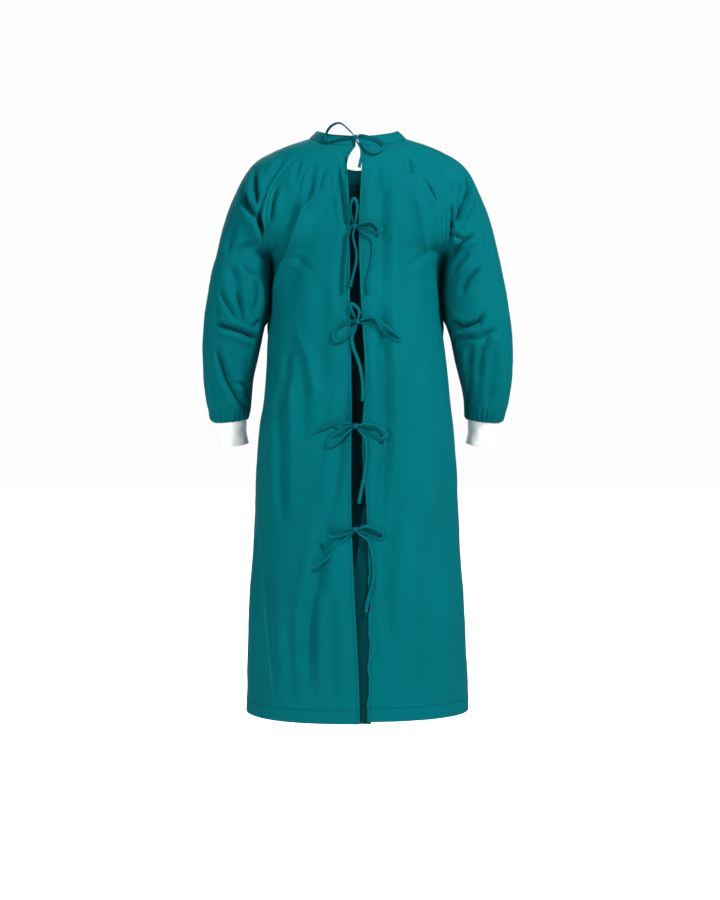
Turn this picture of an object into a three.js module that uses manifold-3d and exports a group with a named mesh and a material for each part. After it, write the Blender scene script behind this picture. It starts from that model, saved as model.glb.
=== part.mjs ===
import * as THREE from 'three';
import Module from 'manifold-3d';

// A surgical gown as it is worn, in millimetres. +Z is up and the back with its ties faces -Y.
// The origin is between the shoulders, at the height where the neck seam crosses them.

const clothThickness = 1.6;
const knitThickness = 2.2;
const seamGap = 0.3;
const backRoundness = 0.87;

// Grid sizes of the panels
const backColumns = 14;
const frontColumns = 20;
const sleeveBackColumns = 13;
const sleeveFrontColumns = 14;
const bandColumns = 36;

// Torso sections. half widths to the left and right, depths behind and in front of the origin,
// and how far round from the centre of the back each side seam lies, in degrees.
const torsoSections = [
  { z: 10, left: 90, right: 90, back: 78, front: 30, seamLeft: 86, seamRight: 86 },
  { z: -21, left: 103, right: 103, back: 91, front: 42, seamLeft: 86, seamRight: 86 },
  { z: -45, left: 165, right: 165, back: 101, front: 62, seamLeft: 86, seamRight: 86 },
  { z: -67, left: 198, right: 198, back: 108, front: 84, seamLeft: 86, seamRight: 86 },
  { z: -101, left: 233, right: 233, back: 119, front: 101, seamLeft: 86, seamRight: 86 },
  { z: -138, left: 255, right: 255, back: 127, front: 109, seamLeft: 86, seamRight: 86 },
  { z: -176, left: 262, right: 262, back: 133, front: 115, seamLeft: 86, seamRight: 86 },
  { z: -200, left: 250, right: 250, back: 137, front: 118, seamLeft: 86, seamRight: 86 },
  { z: -219, left: 226, right: 226, back: 138, front: 120, seamLeft: 86, seamRight: 86 },
  { z: -237, left: 200, right: 200, back: 138, front: 121, seamLeft: 86, seamRight: 86 },
  { z: -252, left: 181, right: 180, back: 139, front: 122, seamLeft: 86, seamRight: 86 },
  { z: -275, left: 177, right: 173, back: 139, front: 123, seamLeft: 86, seamRight: 86 },
  { z: -338, left: 175, right: 168, back: 141, front: 124, seamLeft: 86, seamRight: 86 },
  { z: -422, left: 188, right: 180, back: 144, front: 124, seamLeft: 86, seamRight: 86 },
  { z: -485, left: 191, right: 188, back: 146, front: 124, seamLeft: 85, seamRight: 85 },
  { z: -548, left: 196, right: 194, back: 150, front: 126, seamLeft: 85, seamRight: 84 },
  { z: -611, left: 205, right: 201, back: 153, front: 130, seamLeft: 83, seamRight: 83 },
  { z: -653, left: 209, right: 205, back: 155, front: 133, seamLeft: 82, seamRight: 82 },
  { z: -758, left: 213, right: 209, back: 160, front: 140, seamLeft: 75, seamRight: 77 },
  { z: -863, left: 219, right: 215, back: 163, front: 146, seamLeft: 62, seamRight: 68 },
  { z: -968, left: 226, right: 222, back: 166, front: 151, seamLeft: 56, seamRight: 60 },
  { z: -1073, left: 229, right: 227, back: 168, front: 155, seamLeft: 50, seamRight: 55 },
  { z: -1178, left: 232, right: 232, back: 169, front: 158, seamLeft: 44, seamRight: 50 },
  { z: -1200, left: 232, right: 232, back: 169, front: 158, seamLeft: 43, seamRight: 49 },
];

// The two edges of the open back, measured sideways from the centre
const slitEdges = [
  { z: -30, left: -5, right: 5 },
  { z: -56, left: -16, right: 9 },
  { z: -71, left: -22, right: 9 },
  { z: -110, left: -19, right: 7 },
  { z: -151, left: -17, right: 5 },
  { z: -193, left: -15, right: 3 },
  { z: -273, left: -15, right: 4 },
  { z: -353, left: -15, right: 7 },
  { z: -433, left: -13, right: 12 },
  { z: -513, left: -12, right: 16 },
  { z: -573, left: -12, right: 12 },
  { z: -643, left: -12, right: 9 },
  { z: -752, left: -12, right: 17 },
  { z: -871, left: -9, right: 22 },
  { z: -950, left: -5, right: 23 },
  { z: -1029, left: -1, right: 23 },
  { z: -1108, left: 3, right: 22 },
  { z: -1200, left: 5, right: 20 },
];

// Raglan seams from the neck to the underarm, and the top line of each shoulder beside them.
// The handles say how the cloth leaves the seam, and how it comes over the shoulder line.
const raglanRows = [
  { slitZ: -36, backZ: -21.5, left: 81.4, right: 74.4, frontX: 78, frontZ: -48, frontMidZ: -75,
    ridgeX: 102, ridgeZ: 0 },
  { slitZ: -53, backZ: -43, left: 107, right: 98, frontX: 101, frontZ: -62, frontMidZ: -86,
    ridgeX: 143, ridgeZ: -13.5, out: 16, back: -14, up: 13, over: 36, drop: 6 },
  { slitZ: -74, backZ: -68, left: 135.5, right: 118, frontX: 122, frontZ: -80, frontMidZ: -101,
    ridgeX: 182, ridgeZ: -31, out: 24, back: -10, up: 17, over: 42, drop: 6 },
  { slitZ: -98, backZ: -94, left: 156.5, right: 138, frontX: 140, frontZ: -100, frontMidZ: -118,
    ridgeX: 214, ridgeZ: -51, out: 30, back: -9, up: 18, over: 44, drop: 5 },
  { slitZ: -124, backZ: -122, left: 173, right: 157, frontX: 155, frontZ: -124, frontMidZ: -138,
    ridgeX: 237, ridgeZ: -79, out: 34, back: -8, up: 15, over: 46, drop: 4 },
  { slitZ: -153, backZ: -153, left: 182, right: 171, frontX: 167, frontZ: -152, frontMidZ: -162,
    ridgeX: 254, ridgeZ: -114, out: 38, back: -6, up: 11, over: 48, drop: 2 },
  { slitZ: -184, backZ: -184, left: 185.5, right: 178, frontX: 175, frontZ: -182, frontMidZ: -188,
    ridgeX: 270, ridgeZ: -152, out: 44, back: -3, up: 7, over: 50, drop: 0 },
  { slitZ: -214, backZ: -214, left: 183, right: 180, frontX: 179, frontZ: -212, frontMidZ: -215,
    ridgeX: 282, ridgeZ: -190, out: 50, back: 4, up: 3, over: 54, drop: 0 },
  { slitZ: -237, backZ: -237, left: 181.5, right: 180, frontX: 180.5, frontZ: -236, frontMidZ: -237,
    ridgeX: 290.5, ridgeZ: -225, out: 38, back: 34, up: 0, over: 68, drop: 0 },
  { slitZ: -252, backZ: -252, left: 180, right: 179.5, frontX: 180, frontZ: -252, frontMidZ: -252,
    ridgeX: 296, ridgeZ: -252, out: 8, back: 92, up: 0, over: 92, drop: 0 },
];

// Sleeve sections below the underarm. inner and outer sides from the centre of the body,
// the middle of the arm, and the depths behind and in front of that middle.
const sleeveSections = [
  { z: -275, innerLeft: 186, outerLeft: 303,
    innerRight: 186.5, outerRight: 301.5, middle: -10, back: 72, front: 66 },
  { z: -305, innerLeft: 188, outerLeft: 309,
    innerRight: 186, outerRight: 307, middle: -10, back: 70, front: 64 },
  { z: -340, innerLeft: 195, outerLeft: 315,
    innerRight: 188, outerRight: 313.5, middle: -9, back: 67, front: 62 },
  { z: -381, innerLeft: 196, outerLeft: 321,
    innerRight: 184, outerRight: 320, middle: -5, back: 65, front: 60 },
  { z: -421, innerLeft: 201, outerLeft: 325,
    innerRight: 195.5, outerRight: 326, middle: 4, back: 62, front: 58 },
  { z: -463, innerLeft: 210, outerLeft: 326.5,
    innerRight: 204.5, outerRight: 328, middle: 16, back: 60, front: 56 },
  { z: -505, innerLeft: 220, outerLeft: 326,
    innerRight: 216, outerRight: 326.5, middle: 27, back: 57, front: 54 },
  { z: -545, innerLeft: 225, outerLeft: 321.5,
    innerRight: 224.5, outerRight: 321, middle: 37, back: 52, front: 50 },
  { z: -565, innerLeft: 227, outerLeft: 317,
    innerRight: 226.5, outerRight: 316, middle: 41, back: 48, front: 47 },
  { z: -578, innerLeft: 229.5, outerLeft: 314,
    innerRight: 228, outerRight: 312.5, middle: 43, back: 44.5, front: 44 },
  { z: -586, innerLeft: 232, outerLeft: 311,
    innerRight: 229.5, outerRight: 310, middle: 44, back: 41.5, front: 41.5 },
];

// Where the seam over the arm splits the sleeve: 1 is the outermost line, 0 the underarm
const overarmSeam = [
  { z: 0, at: 1 },
  { z: -100, at: 0.98 },
  { z: -190, at: 0.93 },
  { z: -275, at: 0.84 },
  { z: -340, at: 0.75 },
  { z: -460, at: 0.73 },
  { z: -545, at: 0.8 },
  { z: -600, at: 0.86 },
];

const wristTilt = { back: 0.14, side: -0.1, startZ: -400, fullZ: -560 };
const gathers = { depth: 2.6, startZ: -530, endZ: -586 };

// Knit cuffs: how far each ring lies below the top one, and its half width and half depth
const cuffRings = [
  { down: 0, width: 33.4, depth: 36.6 },
  { down: 4, width: 33.8, depth: 37 },
  { down: 16, width: 32.6, depth: 36 },
  { down: 30, width: 31, depth: 34.4 },
  { down: 44, width: 31.8, depth: 35 },
  { down: 56, width: 33.4, depth: 36.6 },
];
const cuffTop = { left: -271.5, right: 269.8, y: 44.5, z: -585.5 };
const cuffLean = { inward: 0.1, forward: 0.15 };
const sleeveEnd = { z: -590, ring: 0.3 };

// Neck seam and the band that stands on it
const neckSeam = { width: 102, back: 97, front: 88, backDrop: 36, frontDrop: 75, sideZ: 0, curve: 1.2 };
const neckTop = { width: 84, back: 83, front: 76, backDrop: 29, frontDrop: 68, sideZ: 17, curve: 1.2 };
const neckNormalUp = { back: 0.41, side: 0.855, front: 0.5 };
const bandEnd = { left: -4, right: 3.2 };

const hemZ = { left: -1196, right: -1191.5, front: -1193 };
const skirtRows = [-275, -315, -365, -420, -480, -545, -610, -680, -750, -825, -900, -980, -1060, -1130];

// Large soft folds of the back and front: two ends, half width, and depth into the cloth.
// A negative depth is a ridge.
const backFolds = [
  { x1: -88, z1: -71, x2: -104, z2: -165, width: 13, depth: 4 },
  { x1: -104, z1: -165, x2: -166, z2: -345, width: 17, depth: 7 },
  { x1: -40, z1: -90, x2: -24, z2: -215, width: 12, depth: 4 },
  { x1: 47, z1: -90, x2: 49, z2: -360, width: 17, depth: 6 },
  { x1: 49, z1: -360, x2: 55, z2: -640, width: 18, depth: 8 },
  { x1: 55, z1: -640, x2: 47, z2: -790, width: 17, depth: 5 },
  { x1: 116, z1: -150, x2: 161, z2: -365, width: 17, depth: -4 },
  { x1: 82, z1: -710, x2: 60, z2: -1060, width: 22, depth: 6 },
  { x1: -22, z1: -525, x2: -54, z2: -780, width: 20, depth: 6 },
  { x1: -54, z1: -780, x2: -99, z2: -1150, width: 26, depth: 9 },
  { x1: -156, z1: -510, x2: -154, z2: -800, width: 22, depth: 4 },
  { x1: 150, z1: -780, x2: 140, z2: -1160, width: 28, depth: 5 },
];
const frontFolds = [
  { x1: -70, z1: -120, x2: -104, z2: -380, width: 20, depth: 5 },
  { x1: 66, z1: -110, x2: 98, z2: -360, width: 20, depth: 5 },
  { x1: -40, z1: -420, x2: -70, z2: -1150, width: 28, depth: 8 },
  { x1: 60, z1: -460, x2: 84, z2: -1160, width: 28, depth: 7 },
  { x1: -150, z1: -600, x2: -165, z2: -1160, width: 28, depth: 6 },
  { x1: 8, z1: -700, x2: 14, z2: -1170, width: 26, depth: 4 },
];

// Folds of a sleeve, for its back and its front: height and place round the row at both ends
const sleeveFolds = [
  { z1: -78, at1: 0.42, z2: -200, at2: 0.3, width: 0.1, depth: 6 },
  { z1: -200, at1: 0.3, z2: -240, at2: 0.12, width: 0.09, depth: 5 },
  { z1: -300, at1: 0.22, z2: -405, at2: 0.5, width: 0.1, depth: 5 },
  { z1: -408, at1: 0.66, z2: -400, at2: 0.12, width: 0.12, depth: 5 },
  { z1: -430, at1: 0.8, z2: -560, at2: 0.4, width: 0.1, depth: 4 },
  { z1: -360, at1: 1.8, z2: -385, at2: 1.35, width: 0.14, depth: 6 },
  { z1: -415, at1: 1.75, z2: -425, at2: 1.3, width: 0.13, depth: 5 },
  { z1: -110, at1: 1.5, z2: -225, at2: 1.75, width: 0.14, depth: 5 },
];

// A fold that rises less than this runs round the arm, with this half width
const levelFoldRise = 30;
const levelFoldWidth = 16;

// The strip of the right back that passes under the left one, from its narrow top to the hem
const underlapRows = [
  { z: -768, left: 11, right: 24 },
  { z: -800, left: 7, right: 25 },
  { z: -850, left: 1, right: 27 },
  { z: -905, left: -7, right: 29 },
  { z: -960, left: -14, right: 30 },
  { z: -1020, left: -18, right: 30 },
  { z: -1080, left: -20, right: 29 },
  { z: -1140, left: -20, right: 28 },
  { z: -1196, left: -20, right: 27 },
];
const underlapColumns = 5;
const underlapInset = { sewn: 2.4, free: 7.5 };

// Tie tapes. Each route point has its place on the back, its lift off the cloth and its roll.
const tape = { width: 7, thickness: 1.5, pinchedWidth: 3.4, pinch: 9, step: 8 };
const knotFlatness = 0.75;
const knotSides = 8;
const knotSteps = 10;
const tieClearance = 0.4;

const ties = [
  {
    name: 'tie_neck',
    knot: { x: -4.5, z: -17, lift: 8, half: 6.5, tall: 5, leadLeft: -15, leadRight: 9, leadLift: 1.8 },
    tapes: [
      { name: 'loop_left', ends: 2, route: [
        [-8, -11, 8, 25], [-20, 1, 9, 25], [-30, 10.5, 9, 25], [-40, 14.5, 8, 20], [-51, 12, 7, 10],
        [-59, 6, 7, 0], [-65, -5, 7, 0], [-66, -15, 7, 0], [-60, -22, 7, 0], [-45, -20.5, 7, 15],
        [-27, -17, 7, 25], [-11, -17, 8, 30]] },
      { name: 'loop_right', ends: 2, route: [
        [0, -17.5, 8, 25], [11, -33, 8, 25], [23, -46, 7, 20], [34, -51, 6, 10], [45, -47, 6, 0],
        [52.5, -38, 7, 0], [49, -28.5, 7, 10], [38, -22.5, 7, 20], [19, -16, 8, 25], [2, -12, 8, 30]] },
      { name: 'tail', ends: 1, route: [
        [-5, -21, 8, 30], [1.5, -32, 7, 30], [7.5, -44, 5, 20], [8.5, -58, 5, 15], [6, -71, 5, 10],
        [3.5, -84, 5, 10]] },
    ],
  },
  {
    name: 'tie_upper',
    knot: { x: -5.5, z: -206, lift: 8, half: 6, tall: 5, leadLeft: -19, leadRight: 7, leadLift: 0.4 },
    tapes: [
      { name: 'loop_up', ends: 2, route: [
        [-7.5, -201, 8, 25], [-12, -187, 9, 25], [-14, -172, 9, 20], [-12, -157, 9, 10],
        [-6.5, -149.5, 9, 0],
        [-1.5, -156, 9, 10], [0, -171, 9, 20], [-2, -186, 9, 25], [-4, -200, 8, 30]] },
      { name: 'loop_right', ends: 2, route: [
        [0, -203, 9, 30], [12, -200, 9, 30], [26, -198, 8, 25], [39, -201, 7, 10], [48, -208, 6, 0],
        [47, -216, 6, 0], [38, -219, 6, 10], [24, -215, 7, 25], [11, -210.5, 8, 30],
        [1, -208, 8, 30]] },
      { name: 'tail_left', ends: 1, route: [
        [-9.5, -209, 7, 25], [-16, -216, 6, 20], [-18, -229, 4.5, 10], [-19, -250, 4, 10],
        [-22.5, -279, 4, 10],
        [-24, -308, 4, 5], [-25.5, -335, 4, 10]] },
      { name: 'tail_middle', ends: 1, route: [
        [-6, -211, 8, 30], [-8.5, -224, 8, 25], [-6.5, -238, 7, 20], [-3, -252, 6, 20],
        [-1.5, -268, 5, 20],
        [-4, -286, 5, 15], [-9, -306, 5, 15], [-14, -327, 4, 10]] },
      { name: 'tail_right', ends: 1, route: [
        [0, -210, 7, 20], [10, -218, 5.5, 15], [22, -225, 4.5, 10], [30, -236, 4, 10],
        [31, -257, 4, 10],
        [29, -278, 4, 10], [24, -298, 4, 10], [21, -320, 4, 10], [22, -340, 4, 10]] },
    ],
  },
  {
    name: 'tie_middle',
    knot: { x: 0, z: -397.5, lift: 8, half: 6.5, tall: 5, leadLeft: -18, leadRight: 13, leadLift: 0.4 },
    tapes: [
      { name: 'loop_left', ends: 2, route: [
        [-5, -395, 9, 30], [-18, -396, 9, 30], [-31, -402, 8, 25], [-42, -411, 6, 15],
        [-48, -422, 5, 5],
        [-46, -432, 5, 0], [-38, -436.5, 5, 10], [-27, -432, 7, 20], [-16, -421, 9, 25],
        [-6, -404, 10, 30]] },
      { name: 'loop_right', ends: 2, route: [
        [5, -394, 9, 35], [16, -391, 9, 35], [32, -388.5, 9, 35], [54, -403, 8, 30], [77, -420, 6, 20],
        [86, -430, 5, 10], [78, -435, 5, 15], [59, -423, 6, 30], [44, -412, 7, 30], [25, -402.5, 8, 30],
        [6, -400.5, 8, 35]] },
      { name: 'tail', ends: 1, route: [
        [0, -401, 5, 20], [-6, -413, 4, 10], [-11, -430, 4, 10], [-8, -448, 4, 15], [-1, -468, 5, 15],
        [6, -490, 5, 15], [10, -514, 5, 15], [11, -536, 5, 15], [10, -556, 5, 10]] },
      { name: 'loop_up', ends: 2, route: [
        [-3.5, -393.5, 8, 30], [-9, -380, 8, 25], [-13.5, -369, 8, 15], [-12, -361.5, 8, 5],
        [-5, -365, 8, 10],
        [2, -372, 8, 15], [4, -380, 8, 25], [1, -393.5, 8, 30]] },
    ],
  },
  {
    name: 'tie_waist',
    knot: { x: -3, z: -605.5, lift: 8, half: 7, tall: 5, leadLeft: -17, leadRight: 15, leadLift: 0.4 },
    tapes: [
      { name: 'tail_left', ends: 1, route: [
        [-8.5, -602, 9, 25], [-24, -598.5, 9, 20], [-38, -599, 8, 15], [-54, -603.5, 6, 10],
        [-69, -609.5, 5, 10],
        [-82, -616.5, 4, 10]] },
      { name: 'loop_left', ends: 2, route: [
        [-8.5, -606, 8, 25], [-17, -605.5, 8, 25], [-31, -612, 7, 20], [-45, -621.5, 6, 15],
        [-56, -632, 5, 5],
        [-59, -640.5, 5, 0], [-54, -646, 5, 5], [-46, -642, 5, 15], [-36, -633, 6, 20],
        [-23, -621, 7, 25],
        [-9, -611, 8, 30]] },
      { name: 'loop_right', ends: 2, route: [
        [3.5, -603.5, 9, 30], [15, -601, 9, 30], [30, -602.5, 8, 25], [44, -607.5, 7, 15],
        [56, -615, 6, 5],
        [59, -623, 5, 0], [53, -629.5, 5, 5], [40, -628.5, 6, 20], [26, -623, 7, 25], [14, -616, 8, 25],
        [4, -609.5, 8, 30]] },
      { name: 'tail_right', ends: 1, route: [
        [0, -611, 7, 25], [9, -619, 5, 20], [15.5, -630, 4, 15], [18, -645, 4, 10], [18.5, -667, 4, 10],
        [16, -690, 4, 15], [12, -714, 4, 15], [7, -738, 5, 15], [3, -759, 5, 10]] },
    ],
  },
  {
    name: 'tie_lower',
    knot: { x: -3.5, z: -810.5, lift: 8, half: 7, tall: 5, leadLeft: -16, leadRight: 25, leadLift: 0.4 },
    tapes: [
      { name: 'loop_left', ends: 2, route: [
        [-9, -808.5, 9.5, 40], [-23, -812, 9.5, 45], [-38, -814.5, 9, 45], [-52, -815.5, 8, 35],
        [-58, -820, 7, 20],
        [-52, -825, 6, 20], [-38, -823.5, 6, 30], [-23, -819.5, 7, 30], [-9.5, -814, 8, 30]] },
      { name: 'tail_left', ends: 1, route: [
        [-8, -816.5, 5, 20], [-20, -826, 4, 15], [-34, -838, 4, 10], [-47, -853, 4, 10],
        [-61, -869, 4, 10],
        [-82, -884, 4, 10]] },
      { name: 'loop_right', ends: 2, route: [
        [3.5, -808, 9, 30], [18, -803.5, 9, 30], [34, -808, 8, 25], [49, -815.5, 6, 15],
        [53, -823, 5, 10],
        [48, -829.5, 5, 10], [37, -826.5, 6, 25], [22, -819.5, 7, 30], [4, -812.5, 8, 30]] },
      { name: 'tail_right', ends: 1, route: [
        [0, -816, 7, 25], [13, -824, 4.5, 20], [22, -832, 4, 15], [27, -845, 4, 15], [31, -864, 4, 15],
        [33, -885, 4, 15], [32.5, -906, 4, 20], [28.5, -925, 4, 20], [23, -942, 4, 15],
        [19, -960, 4, 10],
        [17.5, -974, 4, 10]] },
    ],
  },
];

const clothMaterial = { color: 0x01757d, roughness: 0.82, metalness: 0 };
const underlapMaterial = { color: 0x01565c, roughness: 0.85, metalness: 0 };
const tapeMaterial = { color: 0x027a82, roughness: 0.8, metalness: 0 };
const knitMaterial = { color: 0xf2f3f3, roughness: 0.92, metalness: 0 };

const wasm = await Module();
wasm.setup();

const group = new THREE.Group();
const radians = Math.PI / 180;

// Smooth value of one column of a table whose rows run down in z
function valueAt(table, column, z) {
  if (z >= table[0].z) return table[0][column];
  const last = table.length - 1;
  if (z <= table[last].z) return table[last][column];
  let row = 0;
  while (z < table[row + 1].z) row += 1;
  const slope = (index) => {
    if (index <= 0 || index >= last) return 0;
    return (table[index + 1][column] - table[index - 1][column]) / (table[index + 1].z - table[index - 1].z);
  };
  const span = table[row + 1].z - table[row].z;
  const t = (z - table[row].z) / span;
  const start = table[row][column];
  const end = table[row + 1][column];
  const bend = t * (1 - t) * span;
  const line = start + (end - start) * t * t * (3 - 2 * t);
  return line + bend * ((1 - t) * slope(row) - t * slope(row + 1));
}

function smoothStep(edge, full, value) {
  const t = Math.min(1, Math.max(0, (value - edge) / (full - edge)));
  return t * t * (3 - 2 * t);
}

// Point of the torso at a height and a turn in degrees from the middle of the back
function torsoPoint(z, turn) {
  const width = valueAt(torsoSections, turn < 0 ? 'left' : 'right', z);
  const angle = Math.abs(turn) * radians;
  const depth = angle < Math.PI / 2 ? -valueAt(torsoSections, 'back', z) : valueAt(torsoSections, 'front', z);
  const x = Math.sign(turn) * width * Math.sin(angle) ** backRoundness;
  return new THREE.Vector3(x, depth * Math.abs(Math.cos(angle)) ** backRoundness, z);
}

function turnForX(x, z) {
  const width = valueAt(torsoSections, x < 0 ? 'left' : 'right', z);
  const share = Math.min(0.9995, Math.abs(x) / width);
  return Math.sign(x) * Math.asin(share ** (1 / backRoundness)) / radians;
}

// Depth of a fold at a place, fading at both ends and to the sides
function foldDepth(folds, x, z) {
  let total = 0;
  for (const fold of folds) {
    const alongX = fold.x2 - fold.x1;
    const alongZ = fold.z2 - fold.z1;
    const length = Math.hypot(alongX, alongZ);
    const t = ((x - fold.x1) * alongX + (z - fold.z1) * alongZ) / (length * length);
    const side = ((x - fold.x1) * alongZ - (z - fold.z1) * alongX) / length;
    const fade = smoothStep(-0.12, 0.2, t) * smoothStep(1.12, 0.8, t);
    total += fold.depth * fade * Math.exp(-((side / fold.width) ** 2));
  }
  return total;
}

function neckPoint(shape, turn) {
  const angle = Math.abs(turn) * radians;
  const cosine = Math.cos(angle);
  const behind = cosine > 0;
  const reach = Math.abs(cosine);
  const y = behind ? -shape.back * reach : shape.front * reach;
  const drop = (behind ? shape.backDrop : shape.frontDrop) * reach ** shape.curve;
  return new THREE.Vector3(Math.sign(turn) * shape.width * Math.sin(angle), y, shape.sideZ - drop);
}

// Direction that halves the crease between the band and the cloth below it
function neckNormal(turn) {
  const angle = Math.abs(turn) * radians;
  const sine = Math.sin(angle);
  const end = Math.cos(angle) > 0 ? neckNormalUp.back : neckNormalUp.front;
  const up = end + (neckNormalUp.side - end) * sine * sine;
  const flat = Math.sqrt(1 - up * up);
  return new THREE.Vector3(Math.sign(turn) * sine * flat, -Math.cos(angle) * flat, up);
}

function neckTurnForX(x) {
  return Math.asin(x / neckSeam.width) / radians;
}

// Grids: rows of points with the outward direction at each
function measureNormals(points, wraps) {
  const rows = points.length;
  const columns = points[0].length;
  return points.map((row, r) => row.map((point, c) => {
    const before = wraps ? (c + columns - 1) % columns : Math.max(0, c - 1);
    const after = wraps ? (c + 1) % columns : Math.min(columns - 1, c + 1);
    const across = points[r][after].clone().sub(points[r][before]);
    const down = points[Math.min(rows - 1, r + 1)][c].clone().sub(points[Math.max(0, r - 1)][c]);
    return down.cross(across).normalize();
  }));
}

function makeGrid(rows, columns, pointAt) {
  const points = [];
  for (let r = 0; r <= rows; r += 1) {
    const row = [];
    for (let c = 0; c <= columns; c += 1) row.push(pointAt(r, c / columns));
    points.push(row);
  }
  return { points, normals: measureNormals(points, false) };
}

function pushFolds(grid, depthAt) {
  grid.points.forEach((row, r) => row.forEach((point, c) => {
    point.addScaledVector(grid.normals[r][c], -depthAt(point, r, c));
  }));
  grid.normals = measureNormals(grid.points, false);
}

// Two grids that meet at a seam get the same direction there, so their walls stay side by side
function shareNormals(first, firstColumn, second, secondColumn, fromRow, toRow, shift = 0) {
  for (let r = fromRow; r <= toRow; r += 1) {
    const a = first.normals[r][firstColumn];
    const b = second.normals[r + shift][secondColumn];
    const middle = a.clone().add(b).normalize();
    a.copy(middle);
    b.copy(middle);
  }
}

function pullColumn(grid, column, amount) {
  const next = column === 0 ? 1 : column - 1;
  grid.points.forEach((row) => {
    const step = row[next].clone().sub(row[column]);
    row[column].addScaledVector(step, amount / step.length());
  });
}

function pullRow(grid, rowIndex, amount) {
  const next = rowIndex === 0 ? 1 : rowIndex - 1;
  grid.points[rowIndex].forEach((point, c) => {
    const step = grid.points[next][c].clone().sub(point);
    point.addScaledVector(step, amount / step.length());
  });
}

function addMesh(name, geometry, look) {
  const mesh = new THREE.Mesh(geometry, new THREE.MeshStandardMaterial(look));
  mesh.name = name;
  group.add(mesh);
}

function geometryFrom(positions, index) {
  const geometry = new THREE.BufferGeometry();
  geometry.setAttribute('position', new THREE.Float32BufferAttribute(positions, 3));
  geometry.setIndex(index);
  geometry.computeVertexNormals();
  return geometry;
}

// Closed wall: the grid, the same grid moved in by the thickness, and its rims
function wallGeometry(grid, thickness, wraps = false) {
  const rows = grid.points.length;
  const columns = grid.points[0].length;
  const positions = [];
  for (const depth of [0, thickness]) {
    grid.points.forEach((row, r) => row.forEach((point, c) => {
      const place = point.clone().addScaledVector(grid.normals[r][c], -depth);
      positions.push(place.x, place.y, place.z);
    }));
  }
  const inside = rows * columns;
  const at = (r, c) => r * columns + (c % columns);
  const index = [];
  const quad = (a, b, c, d) => index.push(a, b, c, a, c, d);
  const lastColumn = wraps ? columns : columns - 1;
  for (let r = 0; r < rows - 1; r += 1) {
    for (let c = 0; c < lastColumn; c += 1) {
      quad(at(r, c), at(r + 1, c), at(r + 1, c + 1), at(r, c + 1));
      quad(inside + at(r, c), inside + at(r, c + 1), inside + at(r + 1, c + 1), inside + at(r + 1, c));
    }
  }
  for (let c = 0; c < lastColumn; c += 1) {
    const bottom = rows - 1;
    quad(at(0, c), at(0, c + 1), inside + at(0, c + 1), inside + at(0, c));
    quad(at(bottom, c), inside + at(bottom, c), inside + at(bottom, c + 1), at(bottom, c + 1));
  }
  if (!wraps) {
    for (let r = 0; r < rows - 1; r += 1) {
      const side = columns - 1;
      quad(at(r + 1, 0), at(r, 0), inside + at(r, 0), inside + at(r + 1, 0));
      quad(at(r + 1, side), inside + at(r + 1, side), inside + at(r, side), at(r, side));
    }
  }
  return geometryFrom(positions, index);
}

// Body panels
const seamRows = raglanRows.length - 1;
const bodyRows = seamRows + skirtRows.length + 1;
const sideName = (side) => (side < 0 ? 'left' : 'right');

function backRowEnds(side, row) {
  const slitColumn = sideName(side);
  if (row <= seamRows) {
    const seam = raglanRows[row];
    const seamX = side * seam[slitColumn];
    return { slitZ: seam.slitZ, endZ: seam.backZ, end: turnForX(seamX, seam.backZ) };
  }
  const step = row - seamRows - 1;
  const z = step < skirtRows.length ? skirtRows[step] : hemZ[slitColumn];
  const seamColumn = side < 0 ? 'seamLeft' : 'seamRight';
  return { slitZ: z, endZ: z, end: side * valueAt(torsoSections, seamColumn, z) };
}

function backPoint(side, row, share) {
  const ends = backRowEnds(side, row);
  if (row === 0) {
    const edge = neckTurnForX(side < 0 ? bandEnd.left : bandEnd.right);
    const seamTurn = neckTurnForX(side * raglanRows[0][sideName(side)]);
    return neckPoint(neckSeam, edge + (seamTurn - edge) * share);
  }
  const edge = turnForX(valueAt(slitEdges, sideName(side), ends.slitZ), ends.slitZ);
  const z = ends.slitZ + (ends.endZ - ends.slitZ) * share;
  return torsoPoint(z, edge + (ends.end - edge) * share);
}

function makeBackPanel(side) {
  // The left panel runs from its seam to the slit, so that both grids face outwards
  const fromSlit = (share) => (side < 0 ? 1 - share : share);
  const grid = makeGrid(bodyRows, backColumns, (row, share) => backPoint(side, row, fromSlit(share)));
  pushFolds(grid, (point, row) => (row === 0 ? 0 : foldDepth(backFolds, point.x, point.z)));
  return grid;
}

function frontPoint(row, share) {
  // share 0 is the wearer's left side seam as the back is seen, and 1 the right one
  const across = 2 * share - 1;
  if (row === 0) {
    const start = 180 - neckTurnForX(raglanRows[0].frontX);
    const turn = start + (180 - start) * 2 * Math.min(share, 1 - share);
    return neckPoint(neckSeam, across < 0 ? turn : -turn);
  }
  let z;
  let rightEnd;
  let leftEnd;
  if (row <= seamRows) {
    const seam = raglanRows[row];
    z = seam.frontMidZ + (seam.frontZ - seam.frontMidZ) * across * across;
    rightEnd = 180 - turnForX(seam.frontX, seam.frontZ);
    leftEnd = rightEnd;
    if (row === seamRows) {
      rightEnd = valueAt(torsoSections, 'seamRight', z);
      leftEnd = valueAt(torsoSections, 'seamLeft', z);
    }
  } else {
    const step = row - seamRows - 1;
    const endZ = step < skirtRows.length ? skirtRows[step] : hemZ.front;
    const side = across < 0 ? hemZ.right : hemZ.left;
    z = step < skirtRows.length ? endZ : endZ + (side - endZ) * across * across;
    rightEnd = valueAt(torsoSections, 'seamRight', z);
    leftEnd = valueAt(torsoSections, 'seamLeft', z);
  }
  const end = across < 0 ? rightEnd : leftEnd;
  const turn = end + (180 - end) * (1 - Math.abs(across));
  return torsoPoint(z, across < 0 ? turn : -turn);
}

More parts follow.
